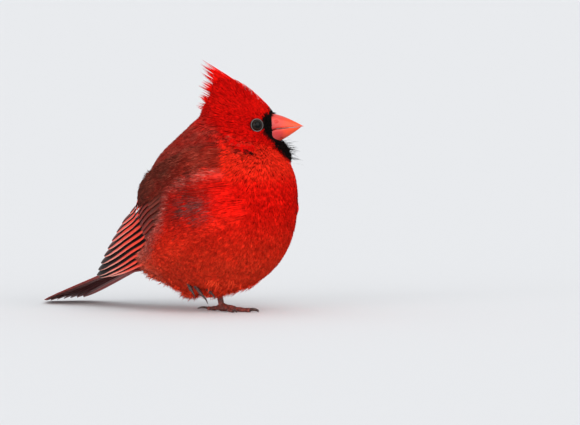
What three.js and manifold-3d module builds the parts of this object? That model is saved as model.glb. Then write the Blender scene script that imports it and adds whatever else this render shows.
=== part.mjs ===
// A northern cardinal, an adult male fluffed up in the cold. It stands on its left foot, with the right foot
// drawn up into the belly feathers, the head turned to its left, the crest raised and the tail on the floor.
// Units are millimetres. +X is the way the breast faces, +Y is the bird's left and +Z is up.
// The origin is under the middle of the standing foot, on the floor.

import * as THREE from "three";
import { mergeVertices } from "three/addons/utils/BufferGeometryUtils.js";
import Module from "manifold-3d";

const wasm = await Module();
wasm.setup();
const mix = THREE.MathUtils.lerp;

// Clearance between pieces that touch, and the thinnest vane
const GAP = 0.3;
const VANE_THICKNESS = 0.6;

// The bird's middle plane lies a little to the right of the standing foot
const MIDDLE_Y = -4;

// The trunk: feathered masses, each with its centre [x, y from the middle plane, z], its half sizes and
// its lean about Y in degrees
const TRUNK_START = new THREE.Vector3(0, MIDDLE_Y, 60);
const TRUNK_BLEND = 4.5;
const TRUNK_MASSES = [
  { name: "ball", centre: [1, 0, 54.5], half: [43, 38.5, 43], lean: 0 },
  { name: "mantle", centre: [-12, 0, 76], half: [26, 29, 20], lean: -35 },
  { name: "breast", centre: [17, 2, 72], half: [25.5, 27, 24], lean: 0 },
  { name: "nape", centre: [1.5, -1, 92], half: [18, 17, 19.5], lean: 0 },
  { name: "vent", centre: [-25, 0, 27], half: [21, 19, 14], lean: 20 },
  { name: "rump", centre: [-36, 0, 41], half: [19, 13, 11], lean: -28 },
];
const TRUNK_SEGMENTS = [35, 25];
const TRUNK_REACH = 80;

// The neck runs from the trunk up to the head. It is parted from the trunk on a plane that leans forward.
const COLLAR_POINT = new THREE.Vector3(4, MIDDLE_Y, 84);
const COLLAR_NORMAL = new THREE.Vector3(0.34, 0.06, 0.94).normalize();

// The head: its middle, its turn to the left, and its masses in its own frame, with X along the bill
const HEAD_CENTRE = new THREE.Vector3(13.4, -2, 103);
const HEAD_TURN = 36;
const HEAD_BLEND = 2.5;
const HEAD_MASSES = [
  { name: "skull", centre: [0, 0, 0], half: [17.5, 14.2, 16], lean: 0 },
  { name: "face", centre: [7.5, 0, 1], half: [11, 9.5, 10], lean: 0 },
  { name: "chin", centre: [18, 0, -13], half: [11, 7, 7.5], lean: 33 },
  { name: "cheek_right", centre: [-1, -5.5, -9], half: [13, 9, 9.5], lean: 25 },
  { name: "cheek_left", centre: [-1, 5.5, -9], half: [13, 9, 9.5], lean: 25 },
  { name: "occiput", centre: [-11, 0, 6], half: [10, 9.5, 12], lean: 25 },
  { name: "crown", centre: [-1.5, 0, 15.8], half: [16, 6.2, 8.6], lean: 39 },
];
const HEAD_SEGMENTS = [26, 20];
const HEAD_REACH = 45;

// Crest feathers: pairs from the forehead to the nape, each leaning on its side of the crown's ridge,
// with one longest feather on top. Roots and lengths are those of the foremost and of the hindmost pair.
const CREST = {
  pairs: 6,
  frontRoot: [3.5, 17],
  backRoot: [-10.5, 7.5],
  frontAside: 1.8,
  backAside: 4.6,
  frontLength: 30,
  backLength: 14,
  topLength: 33.5,
  frontSlope: 41,
  backSlope: 33,
  width: 7.6,
  lean: 60,
  gather: 0.75,
  thickness: 0.7,
};

// The eye in the head's frame, how deep its middle lies under the face, and the lid round it
const EYE = { x: 10.6, z: 2, radius: 3.6, sink: 1.7 };
const LID = { radius: 3.45, wire: 0.6, segments: 16, sides: 5 };

// The bill, in the head's frame: the mouth line runs from the corner to the tip
const BILL = {
  baseX: 15.5,
  tipX: 35.6,
  mouthBaseZ: -2.4,
  mouthKinkX: 20.4,
  mouthKinkZ: -0.4,
  mouthTipZ: 0.9,
  culmenZ: 7.9,
  gonysZ: -9.8,
  halfWidth: 6.6,
  mouthGap: 0.32,
  lowerShorter: 1.2,
  fullUpper: 1.75,
  fullLower: 1.25,
  taper: 1.35,
  leastWidth: 0.05,
  room: 0.42,
  rows: 10,
  sides: 9,
};
const NOSTRIL = { x: 21.2, z: 3.6, length: 1.5, height: 0.9, depth: 1.1, tilt: 20, shareOut: 0.92 };

// A folded wing: its bend, its tip, the way its outer face looks, how far it stands off the trunk,
// and the height of its free blade over the trunk's middle, at the bend and at the tip
const WING = {
  bend: new THREE.Vector3(6, -41, 72),
  tip: new THREE.Vector3(-73.6, -22.4, 19),
  outward: new THREE.Vector3(-0.265, -0.962, 0.059),
  lift: 1.9,
  bladeAtBend: 22,
  bladeAtTip: 34.5,
  bladeFrom: 8,
  bladeTo: 66,
  wrap: 60,
  blend: 3,
};
const WING_CORE = { from: -4, to: 62, lower: -25, upper: 16.5, depth: 4, rows: 10, around: 12 };
// Flight feathers by the place of their tips along the wing, from the outermost primary to the last tertial
const FLIGHT_TIPS = [91, 96.5, 98.2, 95.5, 91.5, 87, 82, 76.5, 70.5, 64, 56];
// The rows of wing vanes. Roots and tips are places along and across the wing, of the lowest and the highest
// vane of the row. For the flight feathers' tips, only the places across it are given here.
const FLIGHT = {
  width: 6.6,
  roll: 1.4,
  roots: [[37, -18.5], [27, 13]],
  tipsAcross: [-4, 15.2],
  bow: [-1.6, 0.8],
};
const GREATER_COVERTS = {
  count: 8,
  width: 6.2,
  roll: 0.9,
  roots: [[20, -19], [14, 12]],
  tips: [[43, -15], [45, 13]],
};
const MEDIAN_COVERTS = {
  count: 7,
  width: 6.8,
  roll: 0.9,
  roots: [[6, -18], [3, 11]],
  tips: [[26, -19], [24, 12]],
};
const SCAPULARS = {
  count: 4,
  width: 7,
  roll: 0.7,
  roots: [[4, 11], [26, 13]],
  tips: [[24, 14.5], [49, 15]],
};
const COVERT_BOW = [-1.2, 0.6];
// Heights of a wing vane over the covered arm: at its sunk root, where it comes out, and at its tip
const FLIGHT_RISE = [-2.6, 2, 1.6];
const COVERT_RISE = [-1.8, 1.7, 1.8];

// The tail: where its quills meet, its slope to the floor, and its twelve feathers
const TAIL = {
  root: new THREE.Vector3(-34, MIDDLE_Y, 34.2),
  length: 101,
  slope: 19.5,
  feathers: 6,
  spread: 9.2,
  width: 9.6,
  shorter: 2.1,
  step: 0.95,
  arch: 160,
  roll: 1.4,
};
const TAIL_COVERTS = {
  count: 4,
  width: 8,
  from: 6,
  to: 36,
  shorter: 8,
  longerBelow: 8,
  above: 4.6,
  below: -4.6,
  rootSpread: 6,
  spread: 9,
};

// The stump that carries the quills, as [way along, lower edge, upper edge]
const TAIL_STUMP = {
  outline: [[0, -9, 9], [8, -10, 10], [18, -9.5, 9.5], [28, -8, 8], [36, -6, 6]],
  length: 36,
  thickAtRoot: 11,
  thickAtEnd: 3.6,
  below: 0.4,
  around: 12,
};

// Legs and toes
const TARSUS = {
  radius: 1.75,
  ankle: new THREE.Vector3(-1.5, -0.6, 4.2),
  knee: new THREE.Vector3(-5, -4, 27),
  ankleCut: 5.4,
};
const THIGH = {
  top: new THREE.Vector3(-4.6, -3.6, 24),
  bottom: new THREE.Vector3(-2.4, -1.4, 8.6),
  wide: 8,
  narrow: 3.4,
};
const PAD = { x: -0.4, y: -0.2, long: 3.3, wide: 2.7, high: 1.9 };
const TOES = [
  { name: "middle", angle: 2, length: 18.5, radius: 1.45, claw: 6.5 },
  { name: "inner", angle: -27, length: 13.5, radius: 1.3, claw: 5.5 },
  { name: "outer", angle: 30, length: 14.5, radius: 1.3, claw: 5.5 },
  { name: "hind", angle: 183, length: 11, radius: 1.45, claw: 8 },
];
// The tucked foot's toes, each by its root in the belly, its knuckle, the end of its flesh and its claw's tip
const TUCKED_TOES = {
  outer: [[-10.5, -19, 22], [-7.4, -22.2, 17.2], [-5.2, -22, 12.6], [-3.9, -20.4, 7.9]],
  middle: [[-7, -16, 21], [-3.8, -20.4, 15.8], [-0.6, -18.8, 10.4], [1.9, -15.9, 4.8]],
  inner: [[-4, -13, 20], [1, -17.2, 15.2], [3.7, -15.6, 11.2], [5, -13.4, 7.4]],
};
const TUCKED = { radius: 1.35, clawRadius: 0.85, clawBend: new THREE.Vector3(0.9, -0.5, 0.4) };

// Colours, as sRGB, with each finish's roughness
const COLOURS = {
  red: [0xc81a12, 0.75],
  wing: [0x9c3a30, 0.7],
  tail: [0x9a2c26, 0.7],
  bill: [0xf0583c, 0.45],
  eye: [0x0b0908, 0.1],
  leg: [0x5a1c16, 0.6],
  claw: [0x2c1a17, 0.4],
};

// Helpers: geometry to solid and back

function solidOf(geometry) {
  const bare = geometry.clone();
  bare.deleteAttribute("normal");
  bare.deleteAttribute("uv");
  const merged = mergeVertices(bare, 1e-4);
  return new wasm.Manifold(
    new wasm.Mesh({
      numProp: 3,
      vertProperties: new Float32Array(merged.attributes.position.array),
      triVerts: new Uint32Array(merged.index.array),
    }),
  );
}

function geometryOf(solid) {
  const mesh = solid.getMesh();
  const places = new Float32Array(mesh.numVert * 3);
  for (let i = 0; i < mesh.numVert; i++)
    places.set(mesh.vertProperties.subarray(i * mesh.numProp, i * mesh.numProp + 3), i * 3);
  const geometry = new THREE.BufferGeometry();
  geometry.setAttribute("position", new THREE.BufferAttribute(places, 3));
  geometry.setIndex(new THREE.BufferAttribute(new Uint32Array(mesh.triVerts), 1));
  geometry.computeVertexNormals();
  return geometry;
}

function fuse(solids) {
  return solids.reduce((joined, next) => joined.add(next));
}

function largest(solid) {
  return solid.decompose().reduce((best, next) => (next.volume() > best.volume() ? next : best));
}

// A closed body from rings of points. Each ring has the same number of points, and goes anticlockwise
// about the way from the first ring to the last. The ends are closed with a fan.
function loft(rings) {
  const around = rings[0].length;
  const points = rings.flat();
  const faces = [];
  for (let row = 0; row + 1 < rings.length; row++) {
    for (let k = 0; k < around; k++) {
      const a = row * around + k;
      const b = row * around + ((k + 1) % around);
      faces.push(a, b, b + around, a, b + around, a + around);
    }
  }
  const middle = (ring) => ring.reduce((sum, p) => sum.add(p), new THREE.Vector3()).divideScalar(around);
  const first = points.push(middle(rings[0])) - 1;
  const last = points.push(middle(rings[rings.length - 1])) - 1;
  const lastRow = (rings.length - 1) * around;
  for (let k = 0; k < around; k++) {
    faces.push(first, (k + 1) % around, k);
    faces.push(last, lastRow + k, lastRow + ((k + 1) % around));
  }
  const geometry = new THREE.BufferGeometry().setFromPoints(points);
  geometry.setIndex(faces);
  return geometry;
}

// The solid of a geometry, turned so that its faces look out
function facedOut(geometry) {
  const solid = solidOf(geometry);
  return solid.volume() > 0 ? solid : solidOf(turnedOut(geometry));
}

// A smooth blade on a surface, from an outline of [along, lower edge, upper edge] and its thickness
function slab(surface, outline, thicknessAt, around) {
  const rings = outline.map(([a, lower, upper]) => {
    const thick = thicknessAt(a);
    const ring = [];
    for (let k = 0; k < around; k++) {
      const angle = (k / around) * 2 * Math.PI;
      const b = mix(lower, upper, (1 + Math.cos(angle)) / 2);
      ring.push(surface(a, b, (thick * (Math.sin(angle) - 1)) / 2));
    }
    return ring;
  });
  return facedOut(loft(rings));
}

// A round limb along a curve, with a radius and a flattening that follow the way along it
function limb(curve, radiusAt, steps, sides, upright = new THREE.Vector3(0, 0, 1)) {
  const rings = [];
  for (let i = 0; i <= steps; i++) {
    const t = i / steps;
    const along = curve.getTangentAt(t);
    const side = new THREE.Vector3().crossVectors(upright, along).normalize();
    const up = new THREE.Vector3().crossVectors(along, side);
    const radius = radiusAt(t);
    const centre = curve.getPointAt(t);
    const ring = [];
    for (let k = 0; k < sides; k++) {
      const angle = (k / sides) * 2 * Math.PI;
      const spot = centre.clone().addScaledVector(side, radius * Math.cos(angle));
      ring.push(spot.addScaledVector(up, radius * Math.sin(angle)));
    }
    rings.push(ring);
  }
  return loft(rings);
}

// Blended masses: ellipsoids that melt into one another like a coat of feathers over the body

function massReach(mass, point) {
  const lean = THREE.MathUtils.degToRad(mass.lean);
  const dx = point.x - mass.centre[0];
  const dz = point.z - mass.centre[2];
  const x = (dx * Math.cos(lean) - dz * Math.sin(lean)) / mass.half[0];
  const y = (point.y - mass.centre[1]) / mass.half[1];
  const z = (dx * Math.sin(lean) + dz * Math.cos(lean)) / mass.half[2];
  return (Math.hypot(x, y, z) - 1) * Math.min(...mass.half);
}

function blendedReach(masses, blend, point) {
  const sum = masses.reduce((total, mass) => total + Math.exp(-massReach(mass, point) / blend), 0);
  return -blend * Math.log(sum);
}

// A sphere about a start point, whose vertices are pushed out until they meet the masses grown by extra
function blendedBody(masses, blend, start, reach, segments, extra = 0) {
  const geometry = new THREE.SphereGeometry(1, ...segments);
  geometry.rotateX(Math.PI / 2);
  const place = geometry.attributes.position;
  const ray = new THREE.Vector3();
  const point = new THREE.Vector3();
  const halvings = 22;
  for (let i = 0; i < place.count; i++) {
    ray.fromBufferAttribute(place, i).normalize();
    let inside = 0;
    let outside = reach;
    for (let n = 0; n < halvings; n++) {
      const middle = (inside + outside) / 2;
      point.copy(start).addScaledVector(ray, middle);
      if (blendedReach(masses, blend, point) < extra) inside = middle;
      else outside = middle;
    }
    point.copy(start).addScaledVector(ray, inside);
    place.setXYZ(i, point.x, point.y, point.z);
  }
  return geometry;
}

// Feathers: a vane is a tapered strip laid on a surface, a function from (along, across, height) to a point.
// Rows give the vane's width by the way along it, as a share of its widest.

const LONG_VANE = [
  { at: 0, wide: 0.5 },
  { at: 0.34, wide: 0.95 },
  { at: 0.74, wide: 1 },
  { at: 0.93, wide: 0.74 },
  { at: 1, wide: 0.26 },
];
const SHORT_VANE = [
  { at: 0, wide: 0.7 },
  { at: 0.45, wide: 1 },
  { at: 0.85, wide: 0.9 },
  { at: 1, wide: 0.35 },
];
const PLUME = [
  { at: 0, wide: 0.8 },
  { at: 0.35, wide: 1 },
  { at: 0.68, wide: 0.85 },
  { at: 0.88, wide: 0.5 },
  { at: 1, wide: 0.1 },
];

function vane(surface, options) {
  const { rows, root, tip, width, height = [0, 0, 0], roll = [0, 0], bow = 0 } = options;
  const { thickness = VANE_THICKNESS } = options;
  const [sunk, out, end] = height;
  const outAt = rows[1].at;
  const alongWay = tip[0] - root[0];
  const acrossWay = tip[1] - root[1];
  const reach = Math.hypot(alongWay, acrossWay);
  const side = [-acrossWay / reach, alongWay / reach];
  const rings = rows.map(({ at, wide }) => {
    const shift = bow * Math.sin(Math.PI * at);
    const a = root[0] + alongWay * at + side[0] * shift;
    const b = root[1] + acrossWay * at + side[1] * shift;
    const half = (width * wide) / 2;
    const h = at < outAt ? mix(sunk, out, at / outAt) : mix(out, end, (at - outAt) / (1 - outAt));
    const tilt = mix(roll[0], roll[1], at) * wide;
    const lower = [a - side[0] * half, b - side[1] * half, h + tilt];
    const upper = [a + side[0] * half, b + side[1] * half, h - tilt];
    const sink = ([x, y, z]) => [x, y, z - thickness];
    return [lower, upper, sink(upper), sink(lower)].map((p) => surface(...p));
  });
  // Both faces are split along the same diagonal, so that a curved vane keeps its thickness
  const around = 4;
  const faces = [];
  for (let row = 0; row + 1 < rings.length; row++) {
    for (let k = 0; k < around; k++) {
      const a = row * around + k;
      const b = row * around + ((k + 1) % around);
      if (k < 2) faces.push(a, b, b + around, a, b + around, a + around);
      else faces.push(a, b, a + around, b, b + around, a + around);
    }
  }
  const last = (rings.length - 1) * around;
  faces.push(0, 2, 1, 0, 3, 2);
  faces.push(last, last + 1, last + 2, last, last + 2, last + 3);
  const geometry = new THREE.BufferGeometry().setFromPoints(rings.flat());
  geometry.setIndex(faces);
  return facedOut(geometry);
}

// The same geometry with its faces turned round
function turnedOut(geometry) {
  const index = Array.from(geometry.index.array);
  for (let i = 0; i < index.length; i += 3) [index[i + 1], index[i + 2]] = [index[i + 2], index[i + 1]];
  const turned = geometry.clone();
  turned.setIndex(index);
  return turned;
}

// Trunk and neck

const trunkMasses = TRUNK_MASSES.map((mass) => ({
  ...mass,
  centre: [mass.centre[0], mass.centre[1] + MIDDLE_Y, mass.centre[2]],
}));

function trunkBody(extra) {
  return solidOf(blendedBody(trunkMasses, TRUNK_BLEND, TRUNK_START, TRUNK_REACH, TRUNK_SEGMENTS, extra));
}

// The head, with its crest, lids and eye sockets

const headPlace = new THREE.Matrix4()
  .makeRotationZ(THREE.MathUtils.degToRad(HEAD_TURN))
  .setPosition(HEAD_CENTRE);

function headBody(extra) {
  const middle = new THREE.Vector3(0, 0, 0);
  const geometry = blendedBody(HEAD_MASSES, HEAD_BLEND, middle, HEAD_REACH, HEAD_SEGMENTS, extra);
  return solidOf(geometry.applyMatrix4(headPlace));
}

// A crest feather rises from a root beside the ridge and leans outward by an angle from lying flat
function crestFeather([rootX, rootZ], aside, slopeDegrees, length, leanDegrees) {
  const slope = THREE.MathUtils.degToRad(slopeDegrees);
  const lean = THREE.MathUtils.degToRad(leanDegrees);
  const root = new THREE.Vector3(rootX, aside, rootZ);
  const inward = (-CREST.gather * aside) / length;
  const lead = new THREE.Vector3(-Math.cos(slope), inward, Math.sin(slope)).normalize();
  const across = new THREE.Vector3(0, 1, 0);
  const out = new THREE.Vector3().crossVectors(lead, across);
  const surface = (a, b, h) =>
    root
      .clone()
      .addScaledVector(lead, a)
      .addScaledVector(across, b * Math.cos(lean) + h * Math.sin(lean))
      .addScaledVector(out, h * Math.cos(lean) - b * Math.sin(lean))
      .applyMatrix4(headPlace);
  const { width, thickness } = CREST;
  return vane(surface, { rows: PLUME, root: [0, 0], tip: [length, 0], width, thickness });
}

function crestFeathers() {
  const feathers = [crestFeather(CREST.frontRoot, 0, CREST.frontSlope, CREST.topLength, 0)];
  for (let pair = 0; pair < CREST.pairs; pair++) {
    const back = pair / (CREST.pairs - 1);
    const root = CREST.frontRoot.map((front, axis) => mix(front, CREST.backRoot[axis], back));
    const aside = mix(CREST.frontAside, CREST.backAside, back);
    const slope = mix(CREST.frontSlope, CREST.backSlope, back);
    const length = mix(CREST.frontLength, CREST.backLength, back ** 0.9);
    for (const side of [-1, 1])
      feathers.push(crestFeather(root, side * aside, slope, length, side * CREST.lean));
  }
  return feathers;
}

// Where the eye sits on the side of the face, and the way it looks, in the head's frame
function eyeSeat(side) {
  const point = new THREE.Vector3(EYE.x, 0, EYE.z);
  let inside = 0;
  let outside = HEAD_REACH;
  for (let n = 0; n < 20; n++) {
    point.y = side * ((inside + outside) / 2);
    if (blendedReach(HEAD_MASSES, HEAD_BLEND, point) < 0) inside = Math.abs(point.y);
    else outside = Math.abs(point.y);
  }
  const step = 0.1;
  const rise = (x, y, z) =>
    blendedReach(HEAD_MASSES, HEAD_BLEND, point.clone().add(new THREE.Vector3(x, y, z)));
  const look = new THREE.Vector3(
    rise(step, 0, 0) - rise(-step, 0, 0),
    rise(0, step, 0) - rise(0, -step, 0),
    rise(0, 0, step) - rise(0, 0, -step),
  );
  return { point, look: look.normalize() };
}

// The lid is a ring that stands proud of the face round the eye
function lidRing(side) {
  const { point, look } = eyeSeat(side);
  const ring = new THREE.TorusGeometry(LID.radius, LID.wire, LID.sides, LID.segments);
  ring.applyQuaternion(new THREE.Quaternion().setFromUnitVectors(new THREE.Vector3(0, 0, 1), look));
  ring.translate(point.x, point.y, point.z);
  return solidOf(ring.applyMatrix4(headPlace));
}

function eyeBall(side, extra) {
  const { point, look } = eyeSeat(side);
  const ball = new THREE.SphereGeometry(EYE.radius + extra, 16, 10);
  const centre = point.addScaledVector(look, -EYE.sink);
  ball.translate(centre.x, centre.y, centre.z);
  return solidOf(ball.applyMatrix4(headPlace));
}

// The bill

function mouthLine(x) {
  if (x < BILL.mouthKinkX)
    return mix(BILL.mouthBaseZ, BILL.mouthKinkZ, (x - BILL.baseX) / (BILL.mouthKinkX - BILL.baseX));
  return mix(BILL.mouthKinkZ, BILL.mouthTipZ, (x - BILL.mouthKinkX) / (BILL.tipX - BILL.mouthKinkX));
}

function billHalf(upper, extra) {
  const rings = [];
  for (let row = 0; row <= BILL.rows; row++) {
    const t = row / BILL.rows;
    const lastX = (upper ? BILL.tipX : BILL.tipX - BILL.lowerShorter) + extra;
    const x = mix(BILL.baseX - extra, lastX, t);
    const fullness = 1 - t ** (upper ? BILL.fullUpper : BILL.fullLower);
    const topZ = mix(mouthLine(x) - (upper ? 0.1 : 0), upper ? BILL.culmenZ : BILL.gonysZ, fullness);
    const width = BILL.halfWidth * Math.max(BILL.leastWidth, 1 - t ** BILL.taper) + extra;
    const edge = mouthLine(x) + (upper ? 0.5 : -0.5) * BILL.mouthGap + (upper ? -extra : extra);
    const crown = topZ + (upper ? 0.5 + extra : -0.5 - extra);
    const ring = [];
    for (let k = 0; k <= BILL.sides; k++) {
      const angle = (k / BILL.sides) * Math.PI;
      const keel = Math.sin(angle) ** 0.85;
      ring.push(new THREE.Vector3(x, width * Math.cos(angle), mix(edge, crown, keel)));
    }
    rings.push(ring);
  }
  return facedOut(loft(rings).applyMatrix4(headPlace));
}

function nostril(side) {
  const pit = new THREE.SphereGeometry(1, 10, 8);
  pit.scale(NOSTRIL.length, NOSTRIL.depth, NOSTRIL.height);
  pit.rotateY(THREE.MathUtils.degToRad(NOSTRIL.tilt));
  const t = (NOSTRIL.x - BILL.baseX) / (BILL.tipX - BILL.baseX);
  const halfWidth = NOSTRIL.shareOut * BILL.halfWidth * (1 - t ** BILL.taper);
  pit.translate(NOSTRIL.x, side * halfWidth, NOSTRIL.z);
  return solidOf(pit.applyMatrix4(headPlace));
}

// The right wing. The left wing is its mirror image about the middle plane.

const wingWay = new THREE.Vector3().subVectors(WING.tip, WING.bend);
const wingAlong = wingWay.clone().normalize();
const wingOut = WING.outward.clone().addScaledVector(wingAlong, -WING.outward.dot(wingAlong)).normalize();
const wingUp = new THREE.Vector3().crossVectors(wingAlong, wingOut).normalize();
const wingBase = WING.bend
  .clone()
  .addScaledVector(wingOut, -new THREE.Vector3().subVectors(WING.bend, TRUNK_START).dot(wingOut));

// How far out the trunk reaches over a point of the plane that the wing's heights are measured from
function trunkHeight(onPlane) {
  const point = new THREE.Vector3();
  let inside = 0;
  let outside = TRUNK_REACH;
  for (let n = 0; n < 16; n++) {
    const middle = (inside + outside) / 2;
    point.copy(onPlane).addScaledVector(wingOut, middle);
    if (blendedReach(trunkMasses, TRUNK_BLEND, point) < 0) inside = middle;
    else outside = middle;
  }
  return inside;
}

// The wing lies on the trunk and leaves it as a free blade towards its tip
function wingPoint(a, b) {
  const point = wingBase.clone().addScaledVector(wingAlong, a).addScaledVector(wingUp, b);
  const free = THREE.MathUtils.smoothstep(a, WING.bladeFrom, WING.bladeTo);
  const blade = mix(WING.bladeAtBend, WING.bladeAtTip, free) - (b * b) / (2 * WING.wrap);
  const onTrunk = trunkHeight(point) + WING.lift;
  const height = WING.blend * Math.log(Math.exp(blade / WING.blend) + Math.exp(onTrunk / WING.blend));
  return point.addScaledVector(wingOut, height);
}

function wingSurface(a, b, h) {
  const step = 0.5;
  const here = wingPoint(a, b);
  const alongStep = wingPoint(a + step, b).sub(here);
  const upStep = wingPoint(a, b + step).sub(here);
  const normal = alongStep.cross(upStep).normalize();
  if (normal.dot(wingOut) < 0) normal.negate();
  return here.addScaledVector(normal, h);
}

// The covered arm: a pad of plumage, deep enough to reach the trunk, that carries every vane of the wing
function wingCore() {
  const { rows, around } = WING_CORE;
  const rings = [];
  for (let i = 0; i <= rows; i++) {
    const t = i / rows;
    const swell = Math.sqrt(Math.max(0.02, 1 - (2 * t - 1) ** 4));
    const a = mix(WING_CORE.from, WING_CORE.to, t);
    const taper = mix(1, 0.62, t ** 1.5) * swell;
    const ring = [];
    for (let k = 0; k < around; k++) {
      const angle = (k / around) * 2 * Math.PI;
      const b = mix(WING_CORE.lower, WING_CORE.upper, (1 + Math.cos(angle)) / 2) * taper;
      const deep = WING_CORE.depth * mix(1, 0.6, t) * swell;
      ring.push(wingSurface(a, b, (Math.sin(angle) * deep) / 2 - deep / 2));
    }
    rings.push(ring);
  }
  return facedOut(loft(rings));
}

function partWay([first, last], t) {
  return first.map((value, k) => mix(value, last[k], t));
}

// Flight feathers fan from the outermost primary, lowest, to the innermost tertial, which lies on top
function flightFeathers() {
  const { width, roll, roots, tipsAcross, bow } = FLIGHT;
  return FLIGHT_TIPS.map((tipA, i) => {
    const t = i / (FLIGHT_TIPS.length - 1);
    return vane(wingSurface, {
      rows: LONG_VANE,
      root: partWay(roots, t),
      tip: [tipA, mix(...tipsAcross, t)],
      width: width * mix(0.85, 1.1, t),
      height: FLIGHT_RISE,
      roll: [roll, roll],
      bow: mix(...bow, t),
    });
  });
}

function covertRow({ count, width, roll, roots, tips }) {
  const row = [];
  for (let i = 0; i < count; i++) {
    const t = i / (count - 1);
    row.push(
      vane(wingSurface, {
        rows: SHORT_VANE,
        root: partWay(roots, t),
        tip: partWay(tips, t),
        width,
        height: COVERT_RISE,
        roll: [roll, roll],
        bow: mix(...COVERT_BOW, t),
      }),
    );
  }
  return row;
}

function rightWing() {
  const coverts = [GREATER_COVERTS, MEDIAN_COVERTS, SCAPULARS].flatMap(covertRow);
  return fuse([wingCore(), ...flightFeathers(), ...coverts]);
}

function mirrored(solid) {
  const geometry = geometryOf(solid);
  geometry.translate(0, -MIDDLE_Y, 0);
  geometry.scale(1, -1, 1);
  geometry.translate(0, MIDDLE_Y, 0);
  return solidOf(turnedOut(geometry));
}

// The tail: six feathers a side, the middle pair on top, laid down to the floor

function tailSurface(a, b, h) {
  const slope = THREE.MathUtils.degToRad(TAIL.slope);
  const height = h - (b * b) / TAIL.arch;
  const way = new THREE.Vector3(
    -a * Math.cos(slope) - height * Math.sin(slope),
    b,
    -a * Math.sin(slope) + height * Math.cos(slope),
  );
  return way.add(TAIL.root);
}

function tailFeathers() {
  const feathers = [];
  for (const side of [-1, 1]) {
    for (let n = 0; n < TAIL.feathers; n++) {
      const angle = THREE.MathUtils.degToRad(TAIL.spread) * ((n + 0.28) / (TAIL.feathers - 0.72));
      const length = TAIL.length - TAIL.shorter * n;
      const level = n === 0 && side < 0 ? TAIL.step : -TAIL.step * n;
      const roll = -side * TAIL.roll * Math.min(n, 1);
      const aside = 0.6 + 0.35 * n;
      feathers.push(
        vane(tailSurface, {
          rows: LONG_VANE,
          root: [4, side * aside],
          tip: [length * Math.cos(angle), side * (aside + length * Math.sin(angle))],
          width: TAIL.width,
          height: [level + 2, level * 0.6 + 1, level * 0.25],
          roll: [roll * 0.4, roll],
        }),
      );
    }
  }
  return feathers;
}

// Coverts close the tail's root above and below, and a stump in them carries its quills
function tailCoverts() {
  const coverts = [];
  for (const above of [true, false]) {
    const level = above ? TAIL_COVERTS.above : TAIL_COVERTS.below;
    for (let n = 0; n < TAIL_COVERTS.count; n++) {
      const aside = n / ((TAIL_COVERTS.count - 1) / 2) - 1;
      const longest = TAIL_COVERTS.to + (above ? 0 : TAIL_COVERTS.longerBelow);
      const reach = longest - TAIL_COVERTS.shorter * Math.abs(aside);
      coverts.push(
        vane(tailSurface, {
          rows: SHORT_VANE,
          root: [TAIL_COVERTS.from, aside * TAIL_COVERTS.rootSpread],
          tip: [reach, aside * TAIL_COVERTS.spread],
          width: TAIL_COVERTS.width,
          height: [level * 0.6, level, level * 0.6],
          thickness: 1,
        }),
      );
    }
  }
  return coverts;
}

function tailStump() {
  const { outline, length, thickAtRoot, thickAtEnd, below, around } = TAIL_STUMP;
  const thicknessAt = (a) => mix(thickAtRoot, thickAtEnd, a / length);
  const centred = (a, b, h) => tailSurface(a, b, h + thicknessAt(a) / 2 - below);
  return slab(centred, outline, thicknessAt, around);
}

// Legs and toes

// A toe's pads swell between its joints
function toeRadius(radius, pads) {
  return (t) => radius * (1 + 0.13 * Math.cos(2 * Math.PI * pads * t)) * mix(1.12, 0.72, t);
}

// A toe or claw keeps only what lies past a point, or short of it, along a way
function keptPast(solid, point, way) {
  return solid.trimByPlane(way.toArray(), point.dot(way));
}

function keptShort(solid, point, way) {
  return keptPast(solid, point, way.clone().negate());
}

const SIDEWAYS = new THREE.Vector3(1, 0, 0);

function standingToe(toe) {
  const angle = THREE.MathUtils.degToRad(toe.angle);
  const way = new THREE.Vector3(Math.cos(angle), Math.sin(angle), 0);
  const at = (reach, height) => way.clone().multiplyScalar(reach).setZ(height);
  const low = toe.radius * 0.86;
  const spine = new THREE.CatmullRomCurve3([
    TARSUS.ankle.clone().setZ(3.2),
    at(toe.length * 0.32, low + 0.7),
    at(toe.length * 0.64, low),
    at(toe.length + 1, low * 0.85),
  ]);
  const flesh = solidOf(limb(spine, toeRadius(toe.radius, 3), 9, 7));
  const clawSpine = new THREE.CatmullRomCurve3([
    at(toe.length - 1, low * 0.9),
    at(toe.length + toe.claw * 0.45, low * 1.2),
    at(toe.length + toe.claw * 0.85, low * 0.75),
    at(toe.length + toe.claw, 0.35),
  ]);
  const claw = solidOf(limb(clawSpine, (t) => mix(0.9, 0.22, t), 5, 6));
  return {
    flesh: keptShort(flesh, at(toe.length, 0), way),
    claw: keptPast(claw, at(toe.length + GAP, 0), way),
  };
}

function footPad() {
  const pad = new THREE.SphereGeometry(1, 12, 8);
  pad.scale(PAD.long, PAD.wide, PAD.high);
  pad.translate(PAD.x, PAD.y, PAD.high * 0.8);
  return solidOf(pad);
}

function tarsusLimb(extra) {
  const { knee, ankle } = TARSUS;
  const shin = knee.clone().lerp(ankle, 0.6);
  const curve = new THREE.CatmullRomCurve3([knee, shin, ankle, ankle.clone().setZ(1.9)]);
  const swell = (t) => TARSUS.radius * (1 + 0.3 * THREE.MathUtils.smoothstep(t, 0.7, 1)) + extra;
  return solidOf(limb(curve, swell, 9, 12, SIDEWAYS));
}

// The feathered end of the shin, a tuft that hangs out of the belly over the top of the tarsus
function thighTuft() {
  const curve = new THREE.LineCurve3(THIGH.top, THIGH.bottom);
  return solidOf(limb(curve, (t) => mix(THIGH.wide, THIGH.narrow, t ** 0.8), 5, 12, SIDEWAYS));
}

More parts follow.
